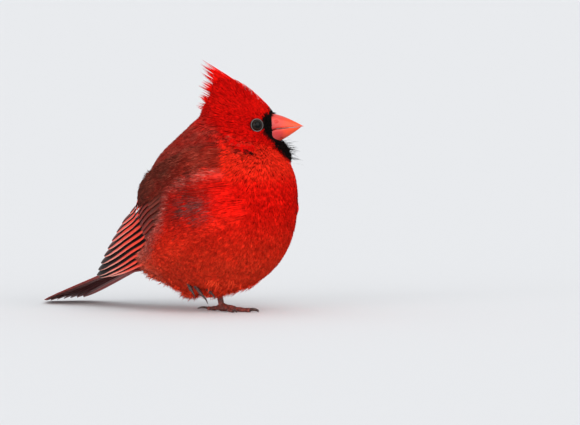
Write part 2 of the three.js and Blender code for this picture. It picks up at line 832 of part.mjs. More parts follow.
function tuckedToe(knots) {
  const [root, knuckle, end, tip] = knots.map((knot) => new THREE.Vector3(...knot));
  const way = new THREE.Vector3().subVectors(tip, end).normalize();
  const spine = new THREE.CatmullRomCurve3([root, knuckle, end.clone().addScaledVector(way, 0.8)]);
  const flesh = solidOf(limb(spine, toeRadius(TUCKED.radius, 2), 8, 8, SIDEWAYS));
  const bend = end.clone().lerp(tip, 0.55).add(TUCKED.clawBend);
  const clawSpine = new THREE.CatmullRomCurve3([end.clone().addScaledVector(way, -0.8), bend, tip]);
  const claw = solidOf(limb(clawSpine, (t) => mix(TUCKED.clawRadius, 0.2, t), 5, 6, SIDEWAYS));
  return {
    flesh: keptShort(flesh, end, way),
    claw: keptPast(claw, end.clone().addScaledVector(way, GAP), way),
  };
}

// Assembly

const bird = new THREE.Group();
bird.name = "northern_cardinal";

function addNode(name, solid, colour) {
  const [tint, roughness] = COLOURS[colour];
  const material = new THREE.MeshStandardMaterial({ color: tint, roughness, metalness: 0 });
  const mesh = new THREE.Mesh(geometryOf(largest(solid)), material);
  mesh.name = name;
  bird.add(mesh);
}

const trunk = trunkBody(0);
const trunkGrown = trunkBody(GAP);
const plainHead = headBody(0);
const headGrown = headBody(GAP);

const collarAt = COLLAR_POINT.dot(COLLAR_NORMAL);
const upward = COLLAR_NORMAL.toArray();
const downward = COLLAR_NORMAL.clone().negate().toArray();
const billUpper = billHalf(true, 0).subtract(nostril(-1)).subtract(nostril(1));
const billLower = billHalf(false, 0);
const billRoom = fuse([billHalf(true, BILL.room), billHalf(false, BILL.room)]);

const head = [-1, 1].reduce(
  (solid, side) => solid.add(lidRing(side)).subtract(eyeBall(side, GAP)),
  fuse([plainHead, ...crestFeathers().map((feather) => feather.subtract(trunkGrown))]).subtract(billRoom),
);

addNode("torso", trunk.trimByPlane(downward, -(collarAt - GAP / 2)).subtract(headGrown), "red");
addNode("neck", trunk.trimByPlane(upward, collarAt + GAP / 2).subtract(headGrown), "red");
addNode("head", head, "red");
addNode("bill_upper", billUpper, "bill");
addNode("bill_lower", billLower, "bill");
addNode("eye_right", eyeBall(-1, 0), "eye");
addNode("eye_left", eyeBall(1, 0), "eye");

const wing = rightWing();
addNode("wing_right", wing.subtract(trunkGrown), "wing");
addNode("wing_left", mirrored(wing).subtract(trunkGrown), "wing");

const floorUp = [0, 0, 1];
const tail = fuse([tailStump(), ...tailCoverts(), ...tailFeathers()]);
addNode("tail", tail.subtract(trunkGrown).trimByPlane(floorUp, 0), "tail");

// The standing leg is parted from its foot at the ankle
const toes = TOES.map((toe) => ({ name: toe.name, ...standingToe(toe) }));
const leg = fuse([tarsusLimb(0), footPad(), ...toes.map((toe) => toe.flesh)])
  .subtract(trunkGrown)
  .trimByPlane(floorUp, 0);
addNode("thigh_left", thighTuft().subtract(trunkGrown).subtract(tarsusLimb(GAP)), "red");
addNode("leg_left", leg.trimByPlane(floorUp, TARSUS.ankleCut + GAP), "leg");
addNode("foot_left", leg.trimByPlane([0, 0, -1], -TARSUS.ankleCut), "leg");
for (const toe of toes) addNode("claw_left_" + toe.name, toe.claw.trimByPlane(floorUp, 0), "claw");

for (const [name, knots] of Object.entries(TUCKED_TOES)) {
  const { flesh, claw } = tuckedToe(knots);
  addNode("toe_right_" + name, flesh.subtract(trunkGrown), "leg");
  addNode("claw_right_" + name, claw.subtract(trunkGrown), "claw");
}

export default bird;
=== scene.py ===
# %% [markdown]
# # A male northern cardinal, life size
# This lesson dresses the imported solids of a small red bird. The solids give every place and size. The same
# named masses are written again below, in millimetres, and turned into metres.

# %% Load the frame
import math
import bpy
import numpy as np
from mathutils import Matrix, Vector, kdtree, noise


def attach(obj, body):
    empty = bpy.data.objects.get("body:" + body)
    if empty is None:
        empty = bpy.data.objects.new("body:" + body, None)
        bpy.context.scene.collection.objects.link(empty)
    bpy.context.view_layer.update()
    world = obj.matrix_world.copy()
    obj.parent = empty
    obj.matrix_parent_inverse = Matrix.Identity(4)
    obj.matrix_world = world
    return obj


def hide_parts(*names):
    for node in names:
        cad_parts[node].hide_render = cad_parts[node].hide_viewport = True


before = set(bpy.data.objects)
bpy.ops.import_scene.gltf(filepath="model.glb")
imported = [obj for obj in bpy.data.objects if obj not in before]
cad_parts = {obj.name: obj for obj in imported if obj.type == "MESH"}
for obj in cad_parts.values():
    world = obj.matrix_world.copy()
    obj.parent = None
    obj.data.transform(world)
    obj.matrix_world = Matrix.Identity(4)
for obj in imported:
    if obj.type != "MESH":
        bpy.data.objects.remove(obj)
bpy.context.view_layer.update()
MM = 0.001
print("solids:", len(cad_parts), "nodes")

# %% [markdown]
# ## The camera
# The bird was taken from far away with a long lens, so lines hardly converge. The camera stands three metres
# off, three degrees above the bird, and its lens is long enough that one pixel is 0.56 mm at the bird.

# %% Camera
PIXEL = 0.56 * MM
PHOTO_SIZE = (580, 425)
FOOT_PIXEL = (224, 311)
VIEW_TURN = math.radians(40)
VIEW_RISE = math.radians(3)
VIEW_DISTANCE = 3.0
SENSOR = 36.0
view_right = Vector((math.cos(VIEW_TURN), math.sin(VIEW_TURN), 0))
view_back = Vector((math.sin(VIEW_TURN), -math.cos(VIEW_TURN), 0)) * math.cos(VIEW_RISE)
view_back.z = math.sin(VIEW_RISE)
view_up = view_back.cross(view_right)
aim = view_right * ((PHOTO_SIZE[0] / 2 - FOOT_PIXEL[0]) * PIXEL)
aim += view_up * ((FOOT_PIXEL[1] - PHOTO_SIZE[1] / 2) * PIXEL)
bpy.ops.object.camera_add(location=aim + view_back * VIEW_DISTANCE)
camera = bpy.context.object
camera.name = "camera"
camera.rotation_euler = view_back.to_track_quat("Z", "Y").to_euler()
camera.data.sensor_width = SENSOR
camera.data.lens = SENSOR * VIEW_DISTANCE / (PHOTO_SIZE[0] * PIXEL)
camera.data.clip_end = 100
bpy.context.scene.camera = camera
print("lens", round(camera.data.lens), "mm")

# %% [markdown]
# ## Helpers for values, colours and operators
# An operator acts on everything that is selected, so each step starts from an empty selection. Colours are
# written as they look on a screen and turned into the light values that a shader wants.


# %% Small helpers
def clear_selection():
    if bpy.context.mode != "OBJECT":
        bpy.ops.object.mode_set(mode="OBJECT")
    bpy.ops.object.select_all(action="DESELECT")


def apply_primitive(name):
    piece = bpy.context.object
    piece.name = name
    bpy.ops.object.transform_apply(location=True, rotation=True, scale=True)
    bpy.ops.object.shade_smooth()
    return piece


def light_value(screen):
    parts = np.array([int(screen[i:i + 2], 16) for i in (0, 2, 4)]) / 255
    return np.where(parts <= 0.04045, parts / 12.92, ((parts + 0.055) / 1.055) ** 2.4)


def ease(values, low, high):
    t = np.clip((values - low) / (high - low), 0, 1)
    return t * t * (3 - 2 * t)


def blend_colours(first, second, share):
    return first + (second - first) * np.asarray(share)[..., None]


def between(low, high, t):
    return low + (high - low) * t


def unit(vectors):
    length = np.linalg.norm(vectors, axis=-1, keepdims=True)
    return vectors / np.maximum(length, 1e-9)


def finish(piece, material, slot, *nodes):
    piece.data.materials.append(material)
    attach(piece, "root")
    if nodes:
        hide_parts(*nodes)
    return piece


# %% [markdown]
# ## The masses of the body
# A fluffed bird is a ball of feathers with smaller swellings that melt into it. Each swelling is an ellipsoid
# with a centre, half sizes and a lean. The reach of a point is how far it lies outside the blend of them all,
# so the skin, the roots and the tips of the feathers can each be laid at a chosen reach.

# %% Body masses, in millimetres
MIDDLE_Y = -4.0
TRUNK_START = np.array([0, MIDDLE_Y, 60])
TRUNK_BLEND = 4.5
TRUNK_MASSES = {
    "ball": ((1, -4, 54.5), (43, 38.5, 43), 0),
    "mantle": ((-12, -4, 76), (26, 29, 20), -35),
    "breast": ((17, -2, 72), (25.5, 27, 24), 0),
    "nape": ((1.5, -5, 92), (18, 17, 19.5), 0),
    "vent": ((-25, -4, 27), (21, 19, 14), 20),
    "rump": ((-36, -4, 41), (19, 13, 11), -28),
}
THIGH_MASSES = {"thigh": ((-2.9, -1.9, 15.5), (4.6, 4.4, 7.5), 8)}
HEAD_CENTRE = np.array([13.4, -2, 103])
HEAD_TURN = math.radians(36)
HEAD_BLEND = 2.5
HEAD_MASSES = {
    "skull": ((0, 0, 0), (17.5, 14.2, 16), 0),
    "face": ((7.5, 0, 1), (11, 9.5, 10), 0),
    "chin": ((18, 0, -13), (11, 7, 7.5), 33),
    "cheek_right": ((-1, -5.5, -9), (13, 9, 9.5), 25),
    "cheek_left": ((-1, 5.5, -9), (13, 9, 9.5), 25),
    "occiput": ((-11, 0, 6), (10, 9.5, 12), 25),
    "crown": ((-1.5, 0, 15.8), (16, 6.2, 8.6), 39),
}
SKIN_BLEND = 0.9


def to_head(points):
    x, y, z = np.moveaxis(points - HEAD_CENTRE, -1, 0)
    c, s = math.cos(HEAD_TURN), math.sin(HEAD_TURN)
    return np.stack([x * c + y * s, y * c - x * s, z], -1)


def turn_from_head(ways):
    x, y, z = np.moveaxis(ways, -1, 0)
    c, s = math.cos(HEAD_TURN), math.sin(HEAD_TURN)
    return np.stack([x * c - y * s, x * s + y * c, z], -1)


def from_head(points):
    return turn_from_head(np.asarray(points, float)) + HEAD_CENTRE


def mass_reach(mass, points):
    centre, half, lean = mass
    c, s = math.cos(math.radians(lean)), math.sin(math.radians(lean))
    dx, dy, dz = (points[..., i] - centre[i] for i in range(3))
    x, y, z = (dx * c - dz * s) / half[0], dy / half[1], (dx * s + dz * c) / half[2]
    return (np.sqrt(x * x + y * y + z * z) - 1) * min(half)


def blended_reach(masses, blend, points):
    total = sum(np.exp(-mass_reach(mass, points) / blend) for mass in masses.values())
    return -blend * np.log(total + 1e-200)


def trunk_reach(points):
    return blended_reach(TRUNK_MASSES, TRUNK_BLEND, points)


def head_reach(points):
    return blended_reach(HEAD_MASSES, HEAD_BLEND, to_head(points))


def bird_reach(points):
    parts = (trunk_reach(points), head_reach(points), mass_reach(THIGH_MASSES["thigh"], points))
    return -SKIN_BLEND * np.log(sum(np.exp(-part / SKIN_BLEND) for part in parts) + 1e-200)


SLOPE_STEP = 0.15


def reach_out(inside, count, limit, rounds):
    low, high = np.zeros(count), np.full(count, float(limit))
    for _ in range(rounds):
        middle = (low + high) / 2
        within = inside(middle)
        low, high = np.where(within, middle, low), np.where(within, high, middle)
    return low


def slope_of(reach, points):
    slope = np.empty_like(points)
    for axis in range(3):
        shift = np.zeros(3)
        shift[axis] = SLOPE_STEP
        slope[..., axis] = (reach(points + shift) - reach(points - shift)) / (2 * SLOPE_STEP)
    return slope


def settle(points, level, rounds=2):
    for _ in range(rounds):
        slope = slope_of(bird_reach, points)
        steep = np.maximum((slope ** 2).sum(-1), 0.2)
        points = points - slope * ((bird_reach(points) - level) / steep)[..., None]
    return points


# %% [markdown]
# ## How long the feathers are
# On a songbird the feathers round the bill are barely two millimetres long, and they grow steadily longer
# towards the belly. The coat is about a third as deep as its feathers are long, so one rule gives both.


# %% Feather length and coat depth
BILL_ROOT = from_head((17, 0, -1))
FACE_FEATHER = 1.7
BODY_FEATHER = 8.8
DEPTH_SHARE = 0.3


def feather_length(points):
    far = np.linalg.norm(points - BILL_ROOT, axis=-1)
    length = FACE_FEATHER + (BODY_FEATHER - FACE_FEATHER) * ease(far, 2, 50)
    vent = ease(-points[..., 0], 22, 44) * ease(-points[..., 2], -45, -28)
    return length + 1.6 * vent


def coat_depth(points):
    return DEPTH_SHARE * feather_length(points)


# %% [markdown]
# ## The skin
# The skin could be carved from one block, but ball primitives at the masses' own places are quicker and stay
# true to the solids. They are joined, remeshed into one closed surface and drawn in to the foot of the coat.

# %% Skin from ball primitives
SKIN_VOXEL = 1.25 * MM
SKIN_SHADE = 0.6


def add_mass(name, mass, in_head=False):
    centre, half, lean = mass
    place = from_head(centre) if in_head else np.array(centre, float)
    bpy.ops.mesh.primitive_uv_sphere_add(segments=32, ring_count=18, radius=1)
    ball = bpy.context.object
    ball.name = "mass_" + name
    ball.location = place * MM
    ball.scale = np.array(half) * MM
    ball.rotation_euler = (0, math.radians(lean), HEAD_TURN if in_head else 0)
    return ball


clear_selection()
balls = [add_mass(name, mass) for name, mass in TRUNK_MASSES.items()]
balls += [add_mass(name, mass) for name, mass in THIGH_MASSES.items()]
balls += [add_mass(name, mass, True) for name, mass in HEAD_MASSES.items()]
clear_selection()
for ball in balls:
    ball.select_set(True)
bpy.context.view_layer.objects.active = balls[0]
bpy.ops.object.join()
skin = bpy.context.object
skin.name = "skin"
bpy.ops.object.transform_apply(location=True, rotation=True, scale=True)
remesh = skin.modifiers.new("one_surface", "REMESH")
remesh.mode = "VOXEL"
remesh.voxel_size = SKIN_VOXEL
bpy.ops.object.modifier_apply(modifier=remesh.name)
relax = skin.modifiers.new("melt_joins", "SMOOTH")
relax.iterations = 4
bpy.ops.object.modifier_apply(modifier=relax.name)
print("skin:", len(skin.data.vertices), "vertices")


# %% Draw the skin in to the foot of the coat
def vertex_places(mesh):
    flat = np.empty(len(mesh.vertices) * 3)
    mesh.vertices.foreach_get("co", flat)
    return flat.reshape(-1, 3) / MM


def place_vertices(mesh, points):
    mesh.vertices.foreach_set("co", (points * MM).ravel())
    mesh.update()


skin_points = vertex_places(skin.data)
skin_points = settle(skin_points, -coat_depth(skin_points), rounds=4)
place_vertices(skin.data, skin_points)
skin.data.polygons.foreach_set("use_smooth", [True] * len(skin.data.polygons))

# %% [markdown]
# ## Markings
# The skin and the coat read one rule for their colours, so a gap between feathers never shows a wrong colour;
# the skin takes it darker, as painted shade at the foot of the coat. The rule knows the black mask, the brown
# mantle, the grey-brown patch on the flank and the paler vent, and it paints shade as well: brown-red beside
# the wing's bend and black in the crease under the cheek.

# %% Colours of the coat
SCARLET = light_value("f4180c")
CRIMSON = light_value("d60c08")
ORANGE_RED = light_value("ff5430")
ROSE = light_value("ee7256")
MANTLE_AND_SHADE_RED = light_value("76221a")
MANTLE_GREY = light_value("a05c4c")
ASH = light_value("70524d")
# The mask's black also serves as painted shadow in the crease under the cheek.
MASK_AND_SHADOW_BLACK = light_value("120d0c")
MASK_EDGE_Z = [-19, -16.2, -10, -5.9, -1.7, 2.5, 5.4, 7, 8.5, 10.5, 11.5]
MASK_EDGE_X = [30, 25.4, 21.4, 17.4, 14.1, 13.1, 13.1, 15, 16.6, 17.4, 40]


def cloudy(points, size, seed):
    shift = Vector((seed * 7.3, seed * 3.1, seed * 5.7))
    return np.array([noise.noise(Vector(p) / size + shift) for p in points])


def mask_share(points):
    place = to_head(points)
    edge = np.interp(place[:, 2], MASK_EDGE_Z, MASK_EDGE_X)
    return ease(place[:, 0] - edge, -0.5, 0.5)


CHEEK_EDGE_X = [-10, -4.4, -0.7, 3, 7, 10.6, 13]
CHEEK_EDGE_Z = [-0.8, -5.6, -9.6, -12.4, -13.7, -13, -12]


# Black painted in the crease under the cheek's lower edge, deepest at its middle: painted shade.
def cheek_fold_shade(points):
    place = to_head(points)
    under = np.interp(place[:, 0], CHEEK_EDGE_X, CHEEK_EDGE_Z) - place[:, 2]
    reach = ease(place[:, 0], -9, -3) * ease(-place[:, 0], -13, -8) * ease(np.abs(place[:, 1]), 3, 7)
    deep = ease(place[:, 0], -1, 3) * ease(-place[:, 0], -9, -6)
    return reach * ease(under, -0.4, 0.5) * ease(-under, -2.6, -0.9) * (0.45 + 0.5 * deep)


def coat_colours(points):
    patch = cloudy(points, 9, 1)
    fine = cloudy(points, 2.6, 2)
    from_middle = unit(points - TRUNK_START)
    back = from_middle @ unit(np.array([-0.7, 0, 0.7]))
    head_part = ease(trunk_reach(points) - head_reach(points), -2, 3)
    colour = blend_colours(SCARLET, CRIMSON, np.clip(0.35 + 0.6 * patch + 0.5 * head_part, 0, 1))
    low = ease(-points[:, 2], -66, -20) * (1 - head_part)
    colour = blend_colours(colour, ORANGE_RED, np.clip(low * 0.55 + 0.3 * fine * low, 0, 1))
    collar = ease(-np.abs(points[:, 2] - 86), -12, -3) * (1 - head_part) * ease(points[:, 0], 2, 20)
    colour = blend_colours(colour, ORANGE_RED, 0.22 * collar)
    vent = ease(-points[:, 0], 12, 36) * ease(-points[:, 2], -56, -34)
    colour = blend_colours(colour, ROSE, np.clip(0.62 * vent + 0.15 * fine * vent, 0, 1))
    mirror = np.abs(points[:, 1] - MIDDLE_Y)
    flank = np.stack([points[:, 0] - 20, (mirror - 37) * 0.8, (points[:, 2] - 60) * 1.5], -1)
    ashy = ease(-np.linalg.norm(flank, axis=-1), -15, -3) * ease(fine + 0.35 * patch, -0.28, 0.3)
    # A darker brown-red beside the wing's bend is painted shade; the same brown-red is also the mantle's own
    # colour.
    shoulder = np.stack([points[:, 0] - 14, (mirror - 37) * 0.8, points[:, 2] - 66], -1)
    shoulder_shade = ease(-np.linalg.norm(shoulder, axis=-1), -26, -6)
    colour = blend_colours(colour, MANTLE_AND_SHADE_RED, shoulder_shade * np.clip(0.64 + 0.6 * fine, 0, 0.92))
    colour = blend_colours(colour, ASH, 0.9 * ashy)
    mantle = ease(back + 0.22 * patch + 0.16 * fine, 0.02, 0.5) * (1 - head_part)
    brown = blend_colours(MANTLE_AND_SHADE_RED, MANTLE_GREY, np.clip(0.4 + 0.9 * fine, 0, 1))
    brown = blend_colours(brown, CRIMSON, 0.35 * ease(points[:, 2], 78, 96))
    place = to_head(points)
    nape = ease(-place[:, 0], 8, 17) * ease(-place[:, 2], -10, -1) * head_part
    colour = blend_colours(colour, brown, np.maximum(mantle, 0.6 * nape))
    # Painted shade in the cheek's crease, then the black mask.
    colour = blend_colours(colour, MASK_AND_SHADOW_BLACK, cheek_fold_shade(points))
    return blend_colours(colour, MASK_AND_SHADOW_BLACK, mask_share(points))


def paint(mesh, name, colours):
    layer = mesh.color_attributes.new(name, "FLOAT_COLOR", "POINT")
    full = np.ones((len(mesh.vertices), 4))
    full[:, :3] = np.clip(colours, 0, 1)
    layer.data.foreach_set("color", full.ravel())


# The skin is painted in the coat's colours made darker: painted shade at the foot of the coat.
paint(skin.data, "tint", coat_colours(skin_points) * SKIN_SHADE)

# %% [markdown]
# ## The lie of the coat
# Feathers lie away from the bill over the head, rise into the crest, and run down and back over the body
# towards the root of the tail. The way is worked out at every root and laid flat on the skin there.


# %% Which way the feathers lie
SINK = np.array([-42, MIDDLE_Y, 28])
BILL_MIDDLE = np.array([17, 0, -1])


def lie_of(points, normals):
    place = to_head(points)
    away = unit(place - BILL_MIDDLE)
    rising = ease(place[:, 2], 5, 15)[:, None]
    falling = ease(-place[:, 2], 1, 12)[:, None]
    away = away + rising * np.array([-0.35, 0, 0.6]) + falling * np.array([-0.25, 0, -0.6])
    on_head = ease(trunk_reach(points) - head_reach(points), -1.5, 2.5)[:, None]
    down_body = unit(SINK - points) + np.array([0, 0, -0.45])
    way = on_head * turn_from_head(away) + (1 - on_head) * down_body
    way = way - normals * (way * normals).sum(-1, keepdims=True)
    return unit(way)


# %% [markdown]
# ## Roots
# Thousands of points are thrown on the skin at random, and any that falls too close to an earlier one is
# dropped. That leaves them evenly spread without the rows that a grid would show.

# %% Scatter roots over the skin
BODY_SPACING = 1.24
FACE_SPACING = 0.62
THROWS_PER_ROOT = 4.2
dice = np.random.default_rng(7)


def root_spacing(points):
    return FACE_SPACING + (BODY_SPACING - FACE_SPACING) * ease(feather_length(points), 1.8, 6.2)


def scatter_roots(mesh):
    mesh.calc_loop_triangles()
    corners = np.empty(len(mesh.loop_triangles) * 3, int)
    mesh.loop_triangles.foreach_get("vertices", corners)
    places = vertex_places(mesh)[corners.reshape(-1, 3)]
    area = np.linalg.norm(np.cross(places[:, 1] - places[:, 0], places[:, 2] - places[:, 0]), axis=1) / 2
    weight = area / root_spacing(places.mean(1)) ** 2
    count = int(weight.sum() * THROWS_PER_ROOT)
    chosen = dice.choice(len(area), count, p=weight / weight.sum())
    u, v = dice.random(count), dice.random(count)
    over = u + v > 1
    u[over], v[over] = 1 - u[over], 1 - v[over]
    tri = places[chosen]
    points = tri[:, 0] + (tri[:, 1] - tri[:, 0]) * u[:, None] + (tri[:, 2] - tri[:, 0]) * v[:, None]
    room = root_spacing(points)
    tree = kdtree.KDTree(count)
    for i, p in enumerate(points):
        tree.insert(p, i)
    tree.balance()
    free = np.ones(count, bool)
    kept = []
    for i in range(count):
        if free[i]:
            kept.append(i)
            for _, j, _ in tree.find_range(points[i], room[i]):
                free[j] = False
    return points[kept]


roots = scatter_roots(skin.data)
print("roots:", len(roots))

# %% [markdown]
# ## One piece from many
# Separate objects for thousands of tufts would choke Blender. Each coat piece is one mesh whose points and
# faces come from arrays. Every tuft also gets a small patch on the map OFBake, at its root's place on an
# unwrap of the skin: turns about the body run across it, and the way from the vent to the crown runs up it.


# %% Meshes from arrays
def mesh_piece(name, points, faces):
    mesh = bpy.data.meshes.new(name)
    mesh.vertices.add(len(points))
    mesh.vertices.foreach_set("co", (points * MM).astype(np.float32).ravel())
    corners = np.concatenate([part.ravel() for part in faces])
    sizes = np.concatenate([np.full(len(part), part.shape[1]) for part in faces])
    mesh.loops.add(len(corners))
    mesh.loops.foreach_set("vertex_index", corners.astype(np.int32))
    mesh.polygons.add(len(sizes))
    mesh.polygons.foreach_set("loop_start", (np.cumsum(sizes) - sizes).astype(np.int32))
    mesh.polygons.foreach_set("use_smooth", np.ones(len(sizes), bool))
    mesh.update(calc_edges=True)
    mesh.validate()
    piece = bpy.data.objects.new(name, mesh)
    bpy.context.scene.collection.objects.link(piece)
    return piece


def add_map(mesh, name, places):
    corners = np.empty(len(mesh.loops), int)
    mesh.loops.foreach_get("vertex_index", corners)
    layer = mesh.uv_layers.new(name=name)
    layer.uv.foreach_set("vector", places[corners].astype(np.float32).ravel())


def skin_unwrap(points):
    trunk = points - TRUNK_START
    place = to_head(points)
    high = ease(trunk_reach(points) - head_reach(points), -0.1, 0.1) > 0.5
    turn = np.where(high, np.arctan2(place[:, 1], -place[:, 0]), np.arctan2(trunk[:, 1], trunk[:, 0]))
    fall = np.arctan2(np.hypot(trunk[:, 0], trunk[:, 1]), -trunk[:, 2]) / math.pi
    rise = np.arctan2(np.hypot(place[:, 0], place[:, 1]), -place[:, 2]) / math.pi
    across = 0.5 + 0.48 * turn / math.pi
    return np.stack([across, np.where(high, 0.68 + 0.3 * rise, 0.01 + 0.65 * fall)], -1)


# %% [markdown]
# ## Tufts
# A small body feather shows as a fan of fine barbs that lie close together. Each barb is a thin closed blade
# with a ridge: it leaves the skin, rises through the coat and lies down at the bird's outline. It could be a
# flat card, but a closed blade also keeps its shape in a print.

# %% Tufts of barbs
PATCH = 0.0015
BARB_AT = np.array([0, 0.52, 1])
BARB_WIDTH = 0.07
BARB_WIDTH_SHARE = 0.042
# Painted shade along each barb: darker at the root, deep in the coat, than at the tip. In brown parts the root
# is painted darker still, and the tip much paler for those feathers' real pale fringes.
BARB_SHADE = np.array([0.8, 0.8, 0.8, 0.95, 0.95, 0.98, 1.1])
BROWN_SHADE_AND_FRINGE = np.array([-0.15, -0.15, -0.15, 0, 0, 0, 0.4])


def tuft_arrays(roots, normals, ways, lengths, depths, lifts, barbs, width, fan, curl):
    count = len(roots)
    place = (np.arange(barbs) - (barbs - 1) / 2) / max(barbs / 2, 1)
    spread = place + dice.normal(0, 0.16, (count, barbs))
    side = np.cross(normals, ways)
    angle = np.radians(fan) * spread
    way = ways[:, None] * np.cos(angle)[..., None] + side[:, None] * np.sin(angle)[..., None]
    across = np.cross(normals[:, None], way)
    long = lengths[:, None] * (1 - 0.22 * spread ** 2) * dice.uniform(0.82, 1.1, (count, barbs))
    start = roots[:, None] + side[:, None] * (spread * width[:, None] * 1.5)[..., None]
    points = start[:, :, None] + way[:, :, None] * (long[..., None] * BARB_AT)[..., None]
    bend = dice.normal(0, curl, (count, barbs, 1)) * long[..., None] * (BARB_AT ** 2)
    points = points + across[:, :, None] * bend[..., None]
    level = -depths[:, None, None] + (depths[:, None, None] + lifts[:, :, None]) * np.array([0, 0.74, 1])
    flat = settle(points.reshape(-1, 3), level.reshape(-1), 2).reshape(points.shape)
    up = normals[:, None, None]
    wide = width[:, None, None] * np.array([0.75, 1.0]) * dice.uniform(0.75, 1.25, (count, barbs, 1))
    base = flat[:, :, :2]
    left = base - across[:, :, None] * (wide / 2)[..., None]
    right = base + across[:, :, None] * (wide / 2)[..., None]
    ridge = base + up * (wide * 0.36)[..., None]
    rings = np.stack([left, right, ridge], 3).reshape(count, barbs, 6, 3)
    return np.concatenate([rings, flat[:, :, 2:]], 2)


def strand_faces(number, stations):
    first = (np.arange(number) * (3 * stations - 2))[:, None]
    quads = [first + 3 * r + np.array(q) for r in range(stations - 2)
             for q in ([0, 1, 4, 3], [1, 2, 5, 4], [2, 0, 3, 5])]
    tips = 3 * (stations - 2) + np.array([[0, 1, 3], [1, 2, 3], [2, 0, 3]])
    tris = [first + t for t in [*tips, np.array([0, 2, 1])]]
    return [np.concatenate(quads), np.concatenate(tris)]


def tuft_piece(name, roots, barbs, colours, fan=12, lift=0.3, ruffle=0.16, curl=0.02, lengths=None,
               ways=None):
    normals = unit(slope_of(bird_reach, roots))
    ways = lie_of(roots, normals) if ways is None else ways
    sway = np.radians(dice.normal(0, 5, len(roots)))[:, None]
    ways = ways * np.cos(sway) + np.cross(normals, ways) * np.sin(sway)
    lengths = feather_length(roots) if lengths is None else lengths
    lengths = lengths * dice.uniform(0.88, 1.14, len(roots))
    width = BARB_WIDTH + BARB_WIDTH_SHARE * lengths
    loose = np.abs(dice.normal(0, ruffle, (len(roots), barbs)))
    lifts = lift * lengths[:, None] / 7 + loose * lengths[:, None] / 7
    points = tuft_arrays(roots, normals, ways, lengths, coat_depth(roots), lifts, barbs, width, fan, curl)
    number = len(roots) * barbs
    piece = mesh_piece(name, points.reshape(-1, 3), strand_faces(number, len(BARB_AT)))
    brown = ease(0.5 - colours[:, 0], 0.1, 0.3)[:, None, None]
    shade = dice.normal(1, 0.06, (len(roots), 1, 1))
    shade = shade * (1 + dice.normal(0, 0.08, (len(roots), barbs, 1)) * (1 + 3 * brown))
    depth_shade = BARB_SHADE + brown * BROWN_SHADE_AND_FRINGE
    tint = colours[:, None, None] * (shade * depth_shade)[..., None]
    paint(piece.data, "tint", tint.reshape(-1, 3))
    home = skin_unwrap(roots)[:, None, None]
    x = np.linspace(-PATCH, PATCH, barbs)[:, None] * np.ones(7)
    y = np.array([-1, -1, -1, 0, 0, 0, 1]) * PATCH * np.ones((barbs, 1))
    spot = home + np.stack([x, y], -1)
    add_map(piece.data, "OFBake", spot.reshape(-1, 2))
    return finish(piece, plumage, "plumage_red")


# %% [markdown]
# ## Finish of the plumage
# Plumage is matte and hardly shines. The colour comes from the markings that were painted at each root,
# with painted shade towards the root of each barb, and a fine noise on object coordinates breaks it up within
# a tuft.

# %% Parts that the materials share
RELIEF = 0.0001
NOISE_SPAN = (0.3, 0.7)


def add_node(nodes, kind, operation=None, **sockets):
    node = nodes.new("ShaderNode" + kind)
    if operation:
        node.operation = operation
    for socket, value in sockets.items():
        node.inputs[socket.replace("_", " ")].default_value = value
    return node


def new_material(name, **sockets):
    material = bpy.data.materials.new(name)
    material.use_nodes = True
    nodes, links = material.node_tree.nodes, material.node_tree.links
    for socket, value in sockets.items():
        nodes["Principled BSDF"].inputs[socket.replace("_", " ")].default_value = value
    return material, nodes, links


def add_grain(nodes, links, size, detail=2, stretch=None):
    where = add_node(nodes, "TexCoord").outputs["Object"]
    if stretch:
        turned = add_node(nodes, "Mapping", Rotation=(0, 0, -HEAD_TURN), Scale=stretch)
        links.new(where, turned.inputs["Vector"])
        where = turned.outputs["Vector"]
    grain = add_node(nodes, "TexNoise", Scale=size, Detail=detail)
    links.new(where, grain.inputs["Vector"])
    return grain.outputs["Fac"]


def shade_tint(nodes, links, value, span, low, high):
    tint = add_node(nodes, "Attribute")
    tint.attribute_name = "tint"
    spread = add_node(nodes, "MapRange", From_Min=span[0], From_Max=span[1], To_Min=low, To_Max=high)
    scaled = add_node(nodes, "VectorMath", "SCALE")
    links.new(value, spread.inputs["Value"])
    links.new(tint.outputs["Color"], scaled.inputs[0])
    links.new(spread.outputs["Result"], scaled.inputs["Scale"])
    links.new(scaled.outputs["Vector"], nodes["Principled BSDF"].inputs["Base Color"])


def add_relief(nodes, links, value, strength):
    bump = add_node(nodes, "Bump", Strength=strength, Distance=RELIEF)
    links.new(value, bump.inputs["Height"])
    links.new(bump.outputs["Normal"], nodes["Principled BSDF"].inputs["Normal"])


# %% Plumage material
def plumage_material(name, roughness, noise_size, low, high):
    material, nodes, links = new_material(name, Roughness=roughness, Specular_IOR_Level=0.03)
    shade_tint(nodes, links, add_grain(nodes, links, noise_size), NOISE_SPAN, low, high)
    return material


plumage = plumage_material("plumage", 0.72, 420, 0.8, 1.2)
down = plumage_material("down", 0.9, 900, 0.7, 1.1)
finish(skin, down, "plumage_red", "torso", "neck", "head", "thigh_left")

# %% [markdown]
# ## The coat
# The roots are split into the head and six parts round the body, because a piece of more than two hundred
# thousand triangles would be thinned on export. Roots under the eyes and the bill's base are left bare.

# %% Grow the coat
EYE_PLACE = (10.6, 2)
EYE_BARE = 3.5
BODY_BARBS, HEAD_BARBS = 9, 6
BODY_RAGGED, HEAD_RAGGED = 1.1, 0.45


def bare_place(points):
    place = to_head(points)
    far = np.hypot(place[:, 0] - EYE_PLACE[0], place[:, 2] - EYE_PLACE[1])
    eye = (far < EYE_BARE) & (np.abs(place[:, 1]) > 4)
    bill = (place[:, 0] > 15.6) & (np.abs(place[:, 1]) < 5.6) & (place[:, 2] > -7.6) & (place[:, 2] < 7.2)
    return eye | bill


